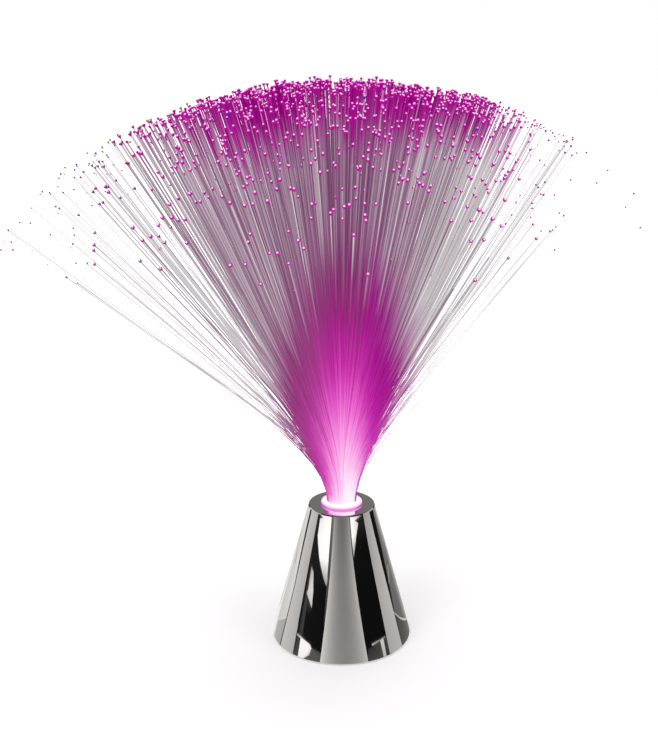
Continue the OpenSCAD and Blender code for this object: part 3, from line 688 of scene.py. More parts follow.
@dataclass(frozen=True)
class FiberLight:
    """Colours the fibers by the light in them. Lengths are in millimetres and leans in degrees.

    Sway is the part of a fiber's lean that goes to the viewer's right. A pair of spans says over which
    sways to the left and to the right something comes in.
    """

    # Heat falls with height above the hot spot, and rises a little again near the ends
    hot_z: float = 88.0
    fall: float = 165.0
    rise: float = 0.05
    rise_z: Span = (180.0, 215.0)
    # The hot column: its width at the neck and what it gains, and how far it starts off centre and moves back.
    # Its fall-off in x is painted shade of the bundle's left and right sides
    width: Span = (9.4, 4.2)
    widening_z: Span = (88.0, 145.0)
    off_centre: Span = (3.6, 2.4)
    centring_z: Span = (100.0, 150.0)
    side_heat: float = 0.22
    uneven: float = 0.035
    dull_share: float = 0.1
    dull_drop: float = 0.12
    heat_stops: Stops = (
        (0.0, (122, 66, 104)), (0.12, (120, 46, 100)), (0.22, (128, 34, 104)), (0.32, (166, 32, 134)),
        (0.42, (198, 40, 168)), (0.5, (220, 70, 190)), (0.64, (238, 128, 212)), (0.78, (248, 182, 232)),
        (0.93, (253, 230, 248)), (1.0, (255, 250, 253)))
    # Clear fibers: a tone between two colours, made of a plain part, a part by chance and parts by sway
    clear_tones: tuple[Colour, Colour] = ((112, 48, 99), (206, 192, 202))
    tone_base: float = 0.18
    tone_chance: float = 0.72
    chance_power: float = 1.3
    tone_beside: float = 0.32
    beside_from: float = 1.0
    beside_sway: Span = (5.0, 32.0)
    tone_right: float = 0.3
    right_sway: Span = (6.0, 20.0)
    tone_top: float = 1.1
    # A few clear fibers carry a painted white highlight, as glints: their share and tone
    glint_share: float = 0.04
    glint_tone: float = 1.2
    grey_tones: tuple[Colour, Colour] = ((138, 128, 134), (214, 212, 213))
    grey_sways: tuple[Span, Span] = ((20.0, 34.0), (10.0, 22.0))
    pale_tone: Colour = (232, 230, 231)
    pale_strength: float = 0.62
    pale_sways: tuple[Span, Span] = ((24.0, 38.0), (14.0, 26.0))
    # The dome over which fibers turn clear, and how far along their length fibers outside do so sooner
    dome_z: float = 262.0
    dome_fall: float = 0.058
    dome_edge: Span = (-24.0, 10.0)
    loose_sways: tuple[Span, Span] = ((26.0, 40.0), (18.0, 30.0))
    loose_along: Span = (34.0, 84.0)
    # Painted shade over the warm part toward the viewer's left and right, by x, and over the outermost fibers
    # low down along the bundle's left and right edges, by their root's x
    left_side_shade: ShadeWash = ShadeWash((146, 112, 134), 0.26, (2.0, 17.0))
    right_side_shade: ShadeWash = ShadeWash((164, 0, 150), 0.4, (9.0, 17.0))
    left_edge_shade: ShadeWash = ShadeWash((190, 60, 160), 0.7, (7.5, 8.4))
    right_edge_shade: ShadeWash = ShadeWash((132, 0, 142), 0.85, (7.1, 8.1))
    edge_z: Span = (98.0, 118.0)
    foot_tone: Colour = (255, 244, 253)
    foot_strength: float = 0.85
    foot_z: Span = (87.0, 94.0)
    foot_x: Span = (6.5, 7.8)
    # The magenta near the ends comes in above top_z - top_r (1 - cos(top_turn sway)), moved by tuft and sway
    top_z: float = 299.0
    top_r: float = 242.0
    top_turn: float = 0.82
    top_depth: float = 14.0
    tuft_lift: float = 5.0
    left_drop: float = 7.0
    drop_sway: Span = (2.0, 12.0)
    left_lift: float = 16.0
    lift_sway: Span = (13.0, 24.0)
    # How much of the top magenta the fibers with a painted highlight take
    glint_top: float = 0.4
    bare_sways: tuple[Span, Span] = ((19.0, 32.0), (16.0, 27.0))
    deep_tones: tuple[Colour, Colour] = ((118, 0, 99), (172, 6, 144))
    # How much of a stem's colour is its own light
    own_light: float = 0.55
    pale_light: float = 0.4
    lit_share: float = 0.95
    # Lit ends: a flare and a core, each strong and weak, and where weak ones are
    flare_tones: tuple[Colour, Colour] = ((178, 4, 146), (136, 60, 116))
    core_tones: tuple[Colour, Colour] = ((255, 206, 250), (226, 186, 216))
    weak_sway: Span = (24.0, 35.0)
    weak_lean: Span = (44.0, 52.0)
    base_share: float = 0.8
    bright_share: float = 0.3
    violet_flare: Colour = (110, 24, 176)
    violet_from: float = 0.985
    cream_flare: Colour = (150, 146, 104)
    cream_core: Colour = (238, 236, 206)
    cream_lean: Span = (-35.0, 5.0)
    cream_area: float = 60.0
    cream_chance: float = 0.9

    def heat(self, plan: dict[str, np.ndarray], x: np.ndarray, z: np.ndarray) -> np.ndarray:
        """How hot a fiber glows from the light that leaks out of it, from 0 to 1.

        Above the diodes' hot spot it falls evenly with height. To both sides of that column it falls off by
        a bell curve in x, whose width grows from the neck up, to a plain low level. That fall-off in x is
        painted shade of the bundle's left and right sides as the viewer sees them.

        Args:
            plan: Rows of what Spray.lay_out gave.
            x: How far to the right each ring is.
            z: How high each ring is.

        Returns:
            The heat of each ring.
        """
        width = self.width[0] + self.width[1] * smooth_step(z, *self.widening_z)
        aim = x - self.off_centre[0] + self.off_centre[1] * smooth_step(z, *self.centring_z)
        # Bell curve in x: painted shade toward the bundle's left and right sides as the viewer sees them
        column = np.exp(-(aim / width) ** 2 / 2.0)
        middle = 1.0 - (z - self.hot_z) / self.fall + self.rise * smooth_step(z, *self.rise_z)
        middle = np.clip(middle, 0.0, 1.0)
        aside = np.minimum(middle, self.side_heat)
        dark = self.dull_drop * (plan["toss"][:, 4:5] < self.dull_share) * middle
        uneven = self.uneven * plan["bell"][:, None]
        return np.clip(aside + (middle - aside) * column + uneven - dark, 0.0, 1.0)

    def _clear(self, plan: dict[str, np.ndarray], pale: np.ndarray, glint: np.ndarray) -> np.ndarray:
        """Screen colour of each fiber where it is clear.

        It is mauve in the middle, and grey to both sides, paler further out. A few fibers carry a painted white
        highlight, as glints.

        Args:
            plan: Rows of what Spray.lay_out gave.
            pale: How pale each fiber is for its sway.
            glint: Which fibers carry a painted white highlight.

        Returns:
            One screen colour for each fiber.
        """
        chance, sway = plan["toss"][:, 0], plan["sway"]
        beside = smooth_step(np.abs(sway - self.beside_from), *self.beside_sway)
        tone = (self.tone_base + self.tone_chance * chance ** self.chance_power + self.tone_beside * beside
                + self.tone_right * smooth_step(sway, *self.right_sway))
        tone = np.where(glint, self.glint_tone, np.clip(tone, 0.0, self.tone_top))
        grey = blend_of(blend_of(*self.grey_tones, chance), self.pale_tone, self.pale_strength * pale)
        return blend_of(blend_of(*self.clear_tones, tone), grey, either_side(sway, *self.grey_sways))

    def _top(self, plan: dict[str, np.ndarray], z: np.ndarray, glint: np.ndarray) -> np.ndarray:
        """How much of the lit ends' magenta each ring of the stems takes, from 0 to 1."""
        sway = plan["sway"]
        low = self.top_z - self.top_r * (1.0 - np.cos(np.radians(self.top_turn * sway)))
        low = (low + self.tuft_lift * plan["tuft"] - self.left_drop * smooth_step(-sway, *self.drop_sway)
               + self.left_lift * smooth_step(-sway, *self.lift_sway))[:, None]
        # Fibers with a painted highlight take less of the magenta
        top = smooth_step(z, low, low + self.top_depth) * np.where(glint, self.glint_top, 1.0)[:, None]
        return top * (1.0 - either_side(sway, *self.bare_sways))[:, None]

    def stems(self, plan: dict[str, np.ndarray], along: np.ndarray,
              centre: np.ndarray) -> tuple[np.ndarray, np.ndarray]:
        """Light and surface colour of each ring of the stems.

        Low down the colour follows the heat. Above a dome of height dome_z - dome_fall x^2 the fibers are
        clear, and fibers that sway far turn clear soon after the neck. Near the top of the spray they take
        the magenta of the lit ends. Clear fibers show the studio's light more than their own.

        Args:
            plan: Rows of what Spray.lay_out gave.
            along: Distance of each ring from the root.
            centre: Middle of each ring.

        Returns:
            Two arrays of linear colours, the light and the surface.
        """
        sway, x, z = plan["sway"], centre[..., 0], centre[..., 2]
        # Fibers that carry a painted white highlight
        glint = plan["toss"][:, 1] < self.glint_share
        pale = either_side(sway, *self.pale_sways)
        clear = self._clear(plan, pale, glint)[:, None]
        dome = self.dome_z - self.dome_fall * x * x
        warm = 1.0 - smooth_step(z, dome + self.dome_edge[0], dome + self.dome_edge[1])
        loose = either_side(sway, *self.loose_sways)[:, None] * smooth_step(along, *self.loose_along)
        warm = warm * (1.0 - loose)
        hot = ramp(self.heat(plan, x, z), self.heat_stops)
        colour = blend_of(np.broadcast_to(clear, hot.shape), hot, warm)
        # Painted shade toward the bundle's left and right sides, then along its left and right edges low down
        colour = self.right_side_shade.over(self.left_side_shade.over(colour, -x, warm), x, warm)
        root_x, low_down = plan["root"][:, :1], 1.0 - smooth_step(z, *self.edge_z)
        colour = self.left_edge_shade.over(self.right_edge_shade.over(colour, root_x, low_down), -root_x, low_down)
        foot = self.foot_strength * (1.0 - smooth_step(z, *self.foot_z))
        foot = foot * (1.0 - smooth_step(np.abs(root_x), *self.foot_x))
        colour = blend_of(colour, self.foot_tone, foot)
        top = self._top(plan, z, glint)
        colour = blend_of(colour, blend_of(*self.deep_tones, plan["toss"][:, 2])[:, None], top)
        own = np.clip(self.own_light + warm + top + self.pale_light * pale[:, None], 0.0, 1.0)[..., None]
        return linear(colour) * own, linear(colour) * (1.0 - self.lit_share * own)

    def ends(self, plan: dict[str, np.ndarray]) -> np.ndarray:
        """Light of each ring of the lit ends: a deep flare with a bright core on it.

        A few ends are violet, those of a patch on the left carry cream light, and those that lean far are
        weak.

        Args:
            plan: Rows of what Spray.lay_out gave.

        Returns:
            Linear colours.
        """
        chance, lean = plan["toss"][:, 2], plan["lean"]
        off = lean[:, None] * bearing(plan["heading"]) - np.array(self.cream_lean)
        cream = (np.exp(-(off ** 2).sum(1) / self.cream_area) > chance * self.cream_chance)[:, None]
        violet = (chance > self.violet_from)[:, None] & ~cream
        sway = np.abs(plan["sway"])
        weak = np.maximum(smooth_step(sway, *self.weak_sway), smooth_step(lean, *self.weak_lean))
        flare = np.where(cream, self.cream_flare, blend_of(*self.flare_tones, weak))
        flare = np.where(violet, self.violet_flare, flare)
        core = np.where(cream, self.cream_core, blend_of(*self.core_tones, weak))
        bright = blend_of(flare, core, self.bright_share)
        rings = np.stack([self.base_share * flare, flare, flare, bright, core, core], 1)
        return linear(rings.clip(0.0, 255.0))


@dataclass
class Spray:
    """The loose fibers. Lengths here are in millimetres and angles in degrees, as the fibers were laid out."""

    light: FiberLight = field(default_factory=FiberLight)
    strands: int = 2200
    seed: int = 7
    root_r: float = 8.55
    root_z: float = 85.6
    length: float = 242.0
    even_lean: float = 34.0
    outer_lean: float = 27.0
    outer_power: float = 6.0
    droop: Span = (-2.0, 0.0)
    # Length over which a fiber takes up its lean: the upright ones, and the rest past a span of shares
    bend: float = 60.0
    quick_bend: float = 26.0
    quick_share: Span = (0.15, 0.5)
    bend_loss: float = 0.9
    # Fibers past this lean to the right are drawn in by the first factor, and a few of them by the second
    right_lean: float = 16.0
    right_draw: float = 0.54
    free_draw: float = 0.85
    right_free: float = 0.24
    # Tufts of ends: how many, their first turn, how far they and the fibers stray, and how hard they pull
    tufts: int = 210
    tuft_turn: float = 0.6
    tuft_scatter: float = 0.7
    scatter: float = 0.7
    pull: float = 0.5
    pull_spread: Span = (0.5, 1.5)
    outer_let_go: float = 0.5
    outer_share: Span = (0.85, 1.0)
    # Unevenness of the lengths
    length_spread: float = 0.006
    length_limits: Span = (-0.02, 0.01)
    tuft_length: float = 0.003
    tuft_limits: Span = (-2.0, 2.0)
    # Shorter fibers: their share, how many more lean to the viewer and over which leans, and how short they are
    short_share: float = 0.06
    short_in_front: float = 0.34
    front_from: Span = (9.0, 15.0)
    front_to: Span = (27.0, 34.0)
    short_lengths: Span = (0.85, 0.98)
    # Stems: radius at the root, at 0.4 of the length and at the end, and how much thinner the outer ones are
    stem_r: tuple[float, float, float] = (0.19, 0.26, 0.3)
    stem_middle: float = 0.4
    outer_thin: float = 0.4
    outer_sways: tuple[Span, Span] = ((26.0, 42.0), (14.0, 28.0))
    stem_sides: int = 4
    stem_gap: float = 0.4
    # Rings of a lit end, as distance past the fiber's length and radius, and how the ends' sizes vary
    end: tuple[Span, ...] = ((-1.4, 0.3), (-0.7, 0.8), (-0.05, 0.98), (0.03, 0.5), (0.05, 0.48), (0.45, 0.36))
    end_sides: int = 6
    end_size: Span = (0.85, 0.35)
    small_end: float = 0.4
    small_lean: float = 46.0
    small_share: float = 0.45
    end_body: float = 0.05
    steps: int = 96
    past_end: float = 1.02
    gloss: float = 0.06

    def leans(self, share: np.ndarray) -> np.ndarray:
        """Full lean of a fiber from its share u of the roots: even_lean sqrt(u) + outer_lean u^power."""
        return self.even_lean * np.sqrt(share) + self.outer_lean * share ** self.outer_power

    def lay_out(self) -> dict[str, np.ndarray]:
        """Where each fiber starts and how it leans.

        Roots fill a disc by the golden angle. A lean is a vector, full (cos a, sin a), and part of the way
        from it to the nearest tuft's own lean is gone, so that lit ends gather in tufts as real ones do.

        The upright fibers in the middle take up their lean over bend, and most of the others over the
        shorter quick_bend. Those lean a little less in return, by the ratio of what is left of the length
        after either bend, so that their ends stay about where they were.

        Returns:
            Arrays named share, root, lean, sway, bend, heading, length, toss, tuft and bell, one row for
            each fiber. Sway is the part of the lean that goes to the viewer's right, toss is five even
            numbers by chance, and tuft and bell are numbers by chance for its tuft and for itself.
        """
        rng = np.random.default_rng(self.seed)
        n, m = np.arange(self.strands), np.arange(self.tufts)
        share = (n + 0.5) / self.strands
        heading = bearing(n * GOLDEN_ANGLE)
        root = self.root_r * np.sqrt(share)[:, None] * heading
        lean = self.leans(share)[:, None] * heading
        centre = self.leans((m + 0.5) / self.tufts)[:, None] * bearing(m * GOLDEN_ANGLE + self.tuft_turn)
        centre += rng.normal(0.0, self.tuft_scatter, centre.shape)
        nearest = np.argmin(((lean[:, None] - centre[None]) ** 2).sum(-1), 1)
        hold = self.pull * rng.uniform(*self.pull_spread, self.strands)[:, None]
        hold *= (1.0 - self.outer_let_go * smooth_step(share, *self.outer_share))[:, None]
        lean = lean + hold * (centre[nearest] - lean) + rng.normal(0.0, self.scatter, lean.shape)
        lean = lean + share[:, None] * np.array(self.droop)
        bend = self.bend + smooth_step(share, *self.quick_share) * (self.quick_bend - self.bend)
        eased = (self.length - self.bend_loss * self.bend) / (self.length - self.bend_loss * bend)
        lean *= eased[:, None]
        past = np.maximum(lean[:, 0] - self.right_lean, 0.0)
        drawn = rng.random(self.strands) > self.right_free
        lean[:, 0] -= (1.0 - np.where(drawn, self.right_draw, self.free_draw)) * past
        full = np.minimum(np.linalg.norm(lean, axis=1), eased * (self.even_lean + self.outer_lean))
        tuft = rng.normal(size=self.tufts).clip(*self.tuft_limits)[nearest]
        uneven = rng.normal(0.0, self.length_spread, self.strands).clip(*self.length_limits)
        length = self.length * (1.0 + uneven + self.tuft_length * tuft)
        front = smooth_step(-lean[:, 1], *self.front_from) * (1.0 - smooth_step(-lean[:, 1], *self.front_to))
        short = rng.random(self.strands) < self.short_share + self.short_in_front * front
        length *= np.where(short, rng.uniform(*self.short_lengths, self.strands), 1.0)
        return {"share": share, "root": root, "lean": full, "sway": lean[:, 0], "bend": bend,
                "heading": np.arctan2(lean[:, 1], lean[:, 0]), "length": length,
                "toss": rng.random((self.strands, 5)), "tuft": tuft, "bell": rng.normal(size=self.strands)}

    def path(self, plan: dict[str, np.ndarray], along: np.ndarray) -> dict[str, np.ndarray]:
        """Where the fibers run.

        The lean at distance s is full (1 - e^(-s / bend)). How far the fiber has gone outward and upward is
        the sum of sin and cos of the lean over short equal steps, read between steps by straight lines.

        Args:
            plan: Rows of what lay_out gave.
            along: Distances from the root at which to read each fiber.

        Returns:
            Arrays named centre, across and side, for each distance.
        """
        step = self.past_end * self.length / self.steps
        marks = np.arange(self.steps + 1) * step
        lean_at = np.radians(plan["lean"])[:, None] * (1.0 - np.exp(-marks / plan["bend"][:, None]))
        half = (lean_at[:, 1:] + lean_at[:, :-1]) / 2.0
        zero = np.zeros((len(along), 1))
        outward = np.concatenate([zero, np.cumsum(np.sin(half) * step, 1)], 1)
        upward = np.concatenate([zero, np.cumsum(np.cos(half) * step, 1)], 1)
        low = np.clip((along / step).astype(int), 0, self.steps - 1)
        part = along / step - low

        def read(table: np.ndarray) -> np.ndarray:
            """A table's value at each distance."""
            first = np.take_along_axis(table, low, 1)
            return first + part * (np.take_along_axis(table, low + 1, 1) - first)

        out, up, lean = read(outward), read(upward), read(lean_at)
        cos_h, sin_h = np.cos(plan["heading"])[:, None], np.sin(plan["heading"])[:, None]
        centre = np.stack([plan["root"][:, :1] + out * cos_h, plan["root"][:, 1:] + out * sin_h,
                           self.root_z + up], -1)
        across = np.stack([np.cos(lean) * cos_h, np.cos(lean) * sin_h, -np.sin(lean)], -1)
        side = np.stack([-sin_h + 0 * lean, cos_h + 0 * lean, 0 * lean], -1)
        return {"centre": centre, "across": across, "side": side}

    def piece(self, plan: dict[str, np.ndarray], band: FiberBand) -> Surface:
        """The fibers of a band as one surface: closed stems, each with a closed lit end over its tip.

        Args:
            plan: What lay_out gave.
            band: The band.

        Returns:
            The surface with its glow and body.
        """
        rows = {key: values[(plan["share"] >= band.low) & (plan["share"] < band.high)]
                for key, values in plan.items()}
        toss, length = rows["toss"], rows["length"][:, None]
        thin = 1.0 - self.outer_thin * either_side(rows["sway"], *self.outer_sways)[:, None]
        swell = (self.end_size[0] + self.end_size[1] * toss[:, 3:4]) * thin
        small = (rows["lean"][:, None] > self.small_lean) & (toss[:, 1:2] < self.small_share)
        swell = np.where(small, self.small_end, swell)
        stem = np.array(band.rings)[None] * (length - self.stem_gap)
        spots = self.path(rows, stem)
        stem_r = np.interp(stem, (0.0, self.stem_middle * self.length, self.length), self.stem_r)
        stems = tubes(spots["centre"] * MM, spots["across"], spots["side"], thin * stem_r * MM, self.stem_sides)
        light, surface = self.light.stems(rows, stem, spots["centre"])
        shape = np.array(self.end)
        spots = self.path(rows, length + shape[None, :, 0] * swell)
        ends = tubes(spots["centre"] * MM, spots["across"], spots["side"], shape[None, :, 1] * swell * MM,
                     self.end_sides)
        flares = self.light.ends(rows)

        def each(colours: np.ndarray, sides: int) -> np.ndarray:
            """A ring's colour for each of its points."""
            return np.repeat(colours.reshape(-1, 3), sides, 0)

        points = np.concatenate([stems.points, ends.points])
        faces = np.concatenate([stems.faces, ends.faces + len(stems.points)])
        body = each(self.end_body * flares, self.end_sides)
        return Surface(points, faces, {
            "glow": np.concatenate([each(light, self.stem_sides), each(flares, self.end_sides)]),
            "body": np.concatenate([each(surface, self.stem_sides), body])})

    def build(self, bench: Bench) -> None:
        """Makes the fibers as three pieces, from the upright ones in the middle to the stray ones outside."""
        plan = self.lay_out()
        material = bench.carried(CLEAR_FIBER, self.gloss)
        for band in FIBER_BANDS:
            place(self.piece(plan, band).make(band.name), material, "spray", "fiber_plastic", "fiber_spray")


# ---------------------------------------------------------------------------------------------------------
# The studio


@dataclass(frozen=True)
class Card:
    """A studio card that only mirrors see.

    Its four corners, from the lower left round to the upper left, are (direction, place, tone). Direction
    is in degrees from the viewer's side, positive to the right, and tone is a screen grey, which dips by
    dip in the middle of the card.

    A traced card is laid out by where it shows: direction and place are the direction and height on the
    cone's wall at which the photograph's camera sees it. Its greys were matched to what the photograph
    shows there.
    Other cards are laid out where they stand: place is height on a ring of cards round the lamp or, below
    0, distance in from that ring along the floor. Places are in millimetres.
    """

    low_left: tuple[float, float, float]
    low_right: tuple[float, float, float]
    high_right: tuple[float, float, float]
    high_left: tuple[float, float, float]
    layer: int = 0
    dip: float = 0.0
    traced: bool = True


def stack(layer: int, *edges: tuple[float, ...], dip: float = 0.0) -> tuple[Card, ...]:
    """Traced cards that stand on each other.

    Args:
        layer: Their layer.
        edges: Their level edges from the bottom up, each as the left corner and then the right one.
        dip: Their dip.

    Returns:
        One card between each pair of edges.
    """
    return tuple(Card(low[:3], low[3:], high[3:], high[:3], layer, dip) for low, high in zip(edges, edges[1:]))


# Plain panels behind all others, each as its two directions and its corners' greys from the lower left round
BACKING = tuple(
    Card((left, -158, tones[0]), (right, -158, tones[1]), (right, 150, tones[2]), (left, 150, tones[3]), -1,
         traced=False)
    for left, right, tones in (
        (-180, -152, (226, 205, 150, 118)), (-152, -128, (120, 110, 26, 30)), (-128, -70, (205, 190, 168, 200)),
        (-70, -28, (90, 60, 26, 30)), (-28, 30, (190, 190, 110, 110)), (30, 72, (60, 90, 22, 26)),
        (72, 126, (172, 180, 190, 165)), (126, 150, (110, 130, 30, 24)), (150, 180, (200, 226, 118, 150))))
# A grey panel far behind the lamp
BEHIND = Card((112, 152, 110), (248, 152, 110), (248, 420, 110), (112, 420, 110), -20, traced=False)

TRACED = (
    # Far left, on both sides of the thin dark line
    *stack(0, (-89, 1, 255, -79, 1, 225), (-89, 25, 255, -79, 25, 205), (-89, 55, 228, -79, 55, 205),
          (-89, 87, 206, -79, 87, 206)),
    *stack(0, (-79, 11.5, 197, -60, 19.5, 208), (-79, 45, 198, -60, 45, 222), (-79, 87, 210, -62, 87, 216)),
    *stack(1, (-79, 1, 232, -75, 1, 178), (-79, 11.5, 190, -75, 12.8, 172)),
    *stack(1, (-75, 1, 178, -60, 1, 160), (-75, 12.8, 172, -60, 19, 168)),
    *stack(2, (-79, 10.8, 198, -61, 18.3, 214), (-79, 12.4, 198, -61, 19.9, 214)),
    *stack(2, (-60.2, 1, 193, -43.5, 1, 174), (-60.4, 45, 192, -43.5, 45, 174),
          (-62.5, 87, 196, -43.5, 87, 178)),
    *stack(3, (-61.9, 1, 70, -60.5, 1, 70), (-61.3, 40, 78, -60.0, 40, 78)),
    *stack(3, (-61.3, 40, 66, -60.0, 40, 66), (-69, 87, 26, -62.9, 87, 26)),
    # Dark region left of the middle
    *stack(2, (-44, 1, 20, -15, 1, 14), (-44, 45, 28, -12, 45, 14)),
    *stack(2, (-44, 45, 28, -12, 45, 22), (-44, 87, 38, -12, 87, 34)),
    *stack(3, (-41, 14, 54, -36.8, 12.8, 62), (-41, 39, 60, -37.2, 35, 62)),
    *stack(3, (-41, 38, 66, -38.4, 37, 84), (-40.8, 56, 38, -37.6, 54, 66)),
    *stack(3, (-37, 28, 36, -31.2, 28, 20), (-37, 34, 50, -31.2, 32, 50)),
    *stack(4, (-39.6, 38.2, 190, -31.0, 31, 205), (-39.3, 40, 205, -32.1, 41, 216)),
    *stack(4, (-38.4, 39.6, 222, -32.1, 41, 216), (-39.4, 54, 150, -35.2, 51, 205)),
    # White panel high on the left
    *stack(3, (-30, 60, 250, -16.5, 60, 262), (-37.6, 72, 248, -16.5, 72, 264),
          (-38.7, 87, 226, -16.5, 87, 264)),
    *stack(3, (-18.8, 46, 155, -16.5, 45, 155), (-30, 60, 250, -16.5, 60, 262)),
    *stack(4, (-39.8, 81.8, 36, -33, 82.5, 110), (-39.8, 84, 36, -33, 82.9, 110)),
    # Wedges at the foot, left
    *stack(3, (-43.2, 1, 64, -38, 1, 74), (-42.4, 13.4, 50, -38, 12, 68)),
    *stack(3, (-33.5, 1, 84, -15.5, 1, 78), (-26, 8.8, 92, -15.5, 6.2, 78)),
    *stack(4, (-42.6, 12.9, 170, -37, 11.7, 225), (-42.6, 14.1, 170, -37, 12.7, 225)),
    *stack(4, (-38.1, 1, 238, -33.5, 1, 242), (-38.1, 12.9, 248, -28, 10.3, 248)),
    *stack(4, (-33.5, 1, 242, -27.8, 4.2, 200), (-28, 10.3, 248, -26.3, 8.5, 234)),
    # Middle panel, between its dark edge lines
    *stack(3, (-17.0, 22, 60, -14, 22, 60), (-17.0, 50, 70, -13, 50, 78)),
    *stack(4, (-17.0, 50, 70, -13, 50, 78), (-17.6, 87, 106, -13, 87, 106)),
    *stack(4, (-17.8, 1, 208, 21.6, 1, 186), (-15.8, 25, 200, 18.6, 25, 182), (-14.3, 46, 192, 15.9, 46, 182),
          (-13.5, 66, 178, 13.4, 66, 168), (-13.3, 87, 160, 12.0, 87, 148), dip=0.33),
    # Dark region right of the middle
    *stack(2, (16, 1, 14, 42.9, 1, 14), (12, 40, 13, 41.1, 40, 13), (11, 68, 18, 39.1, 68, 15),
          (10, 87, 50, 38.4, 87, 36)),
    # White panel high on the right
    *stack(3, (15.2, 61.2, 155, 15.8, 61.8, 125), (14.2, 73, 262, 21.2, 73, 238),
          (13.8, 80.2, 262, 26.9, 80.2, 216), (13.7, 81.8, 262, 20.6, 81.8, 250)),
    *stack(3, (13.7, 81.8, 262, 20.6, 81.8, 254), (13.6, 87, 262, 37.5, 84.6, 155)),
    # Wedges at the foot, right
    *stack(3, (21, 1, 66, 37, 1, 74), (22, 8.6, 44, 36, 10.9, 66)),
    *stack(3, (38, 1, 54, 43, 1, 60), (38, 12.2, 50, 42.4, 12.6, 76)),
    *stack(4, (26.4, 9.8, 190, 41, 12.0, 120), (26.4, 10.9, 190, 41, 12.9, 120)),
    *stack(4, (36.1, 1, 172, 39.0, 1, 178), (34.9, 11.4, 205, 38.6, 12.2, 200)),
    # Grey band, black line and what lies beyond them on the right
    *stack(2, (43.0, 1, 164, 59.7, 1, 178), (41.2, 35, 166, 58.3, 35, 183), (39.2, 66, 158, 55.6, 66, 182),
          (38.5, 87, 158, 53.9, 87, 170)),
    *stack(0, (59, 19, 98, 74, 13.3, 104), (59, 55, 96, 74, 55, 118)),
    *stack(0, (74, 13.3, 104, 89, 8, 172), (74, 55, 118, 89, 55, 196)),
    *stack(0, (59, 55, 96, 74, 55, 118), (59, 87, 60, 74, 87, 152)),
    *stack(0, (74, 55, 118, 89, 55, 196), (74, 87, 152, 89, 87, 255)),
    *stack(1, (59.0, 1, 80, 74, 1, 100), (59.0, 21.8, 66, 74, 13.6, 92)),
    *stack(1, (74, 1, 100, 89, 1, 128), (74, 13.6, 92, 89, 8, 132)),
    *stack(3, (58.9, 19, 66, 60.3, 20, 70), (58.1, 35, 20, 61.9, 35, 22), (55.8, 62, 20, 65.0, 62, 20),
          (53.7, 87, 18, 66.2, 87, 24)),
    *stack(4, (58.8, 21.6, 150, 68.2, 15.3, 182), (58.8, 23.0, 150, 68.2, 16.8, 182)),
    *stack(4, (68.2, 15.3, 182, 76, 12.0, 196), (68.2, 16.8, 182, 76, 13.4, 196)),
    *stack(4, (76, 12.0, 196, 86, 8.6, 196), (76, 13.4, 196, 86, 10.0, 196)),
)


@dataclass(frozen=True)
class Lamp:
    """A soft square lamp."""

    name: str
    spot: tuple[float, float, float]
    size: float
    watts: float


LAMPS = (
    Lamp("key_lamp", (-0.9, -1.1, 1.5), 0.9, 9.0),
    Lamp("fill_lamp", (1.2, -0.8, 1.2), 0.9, 4.0),
    Lamp("top_lamp", (0.1, 0.7, 1.7), 1.0, 4.5),
)


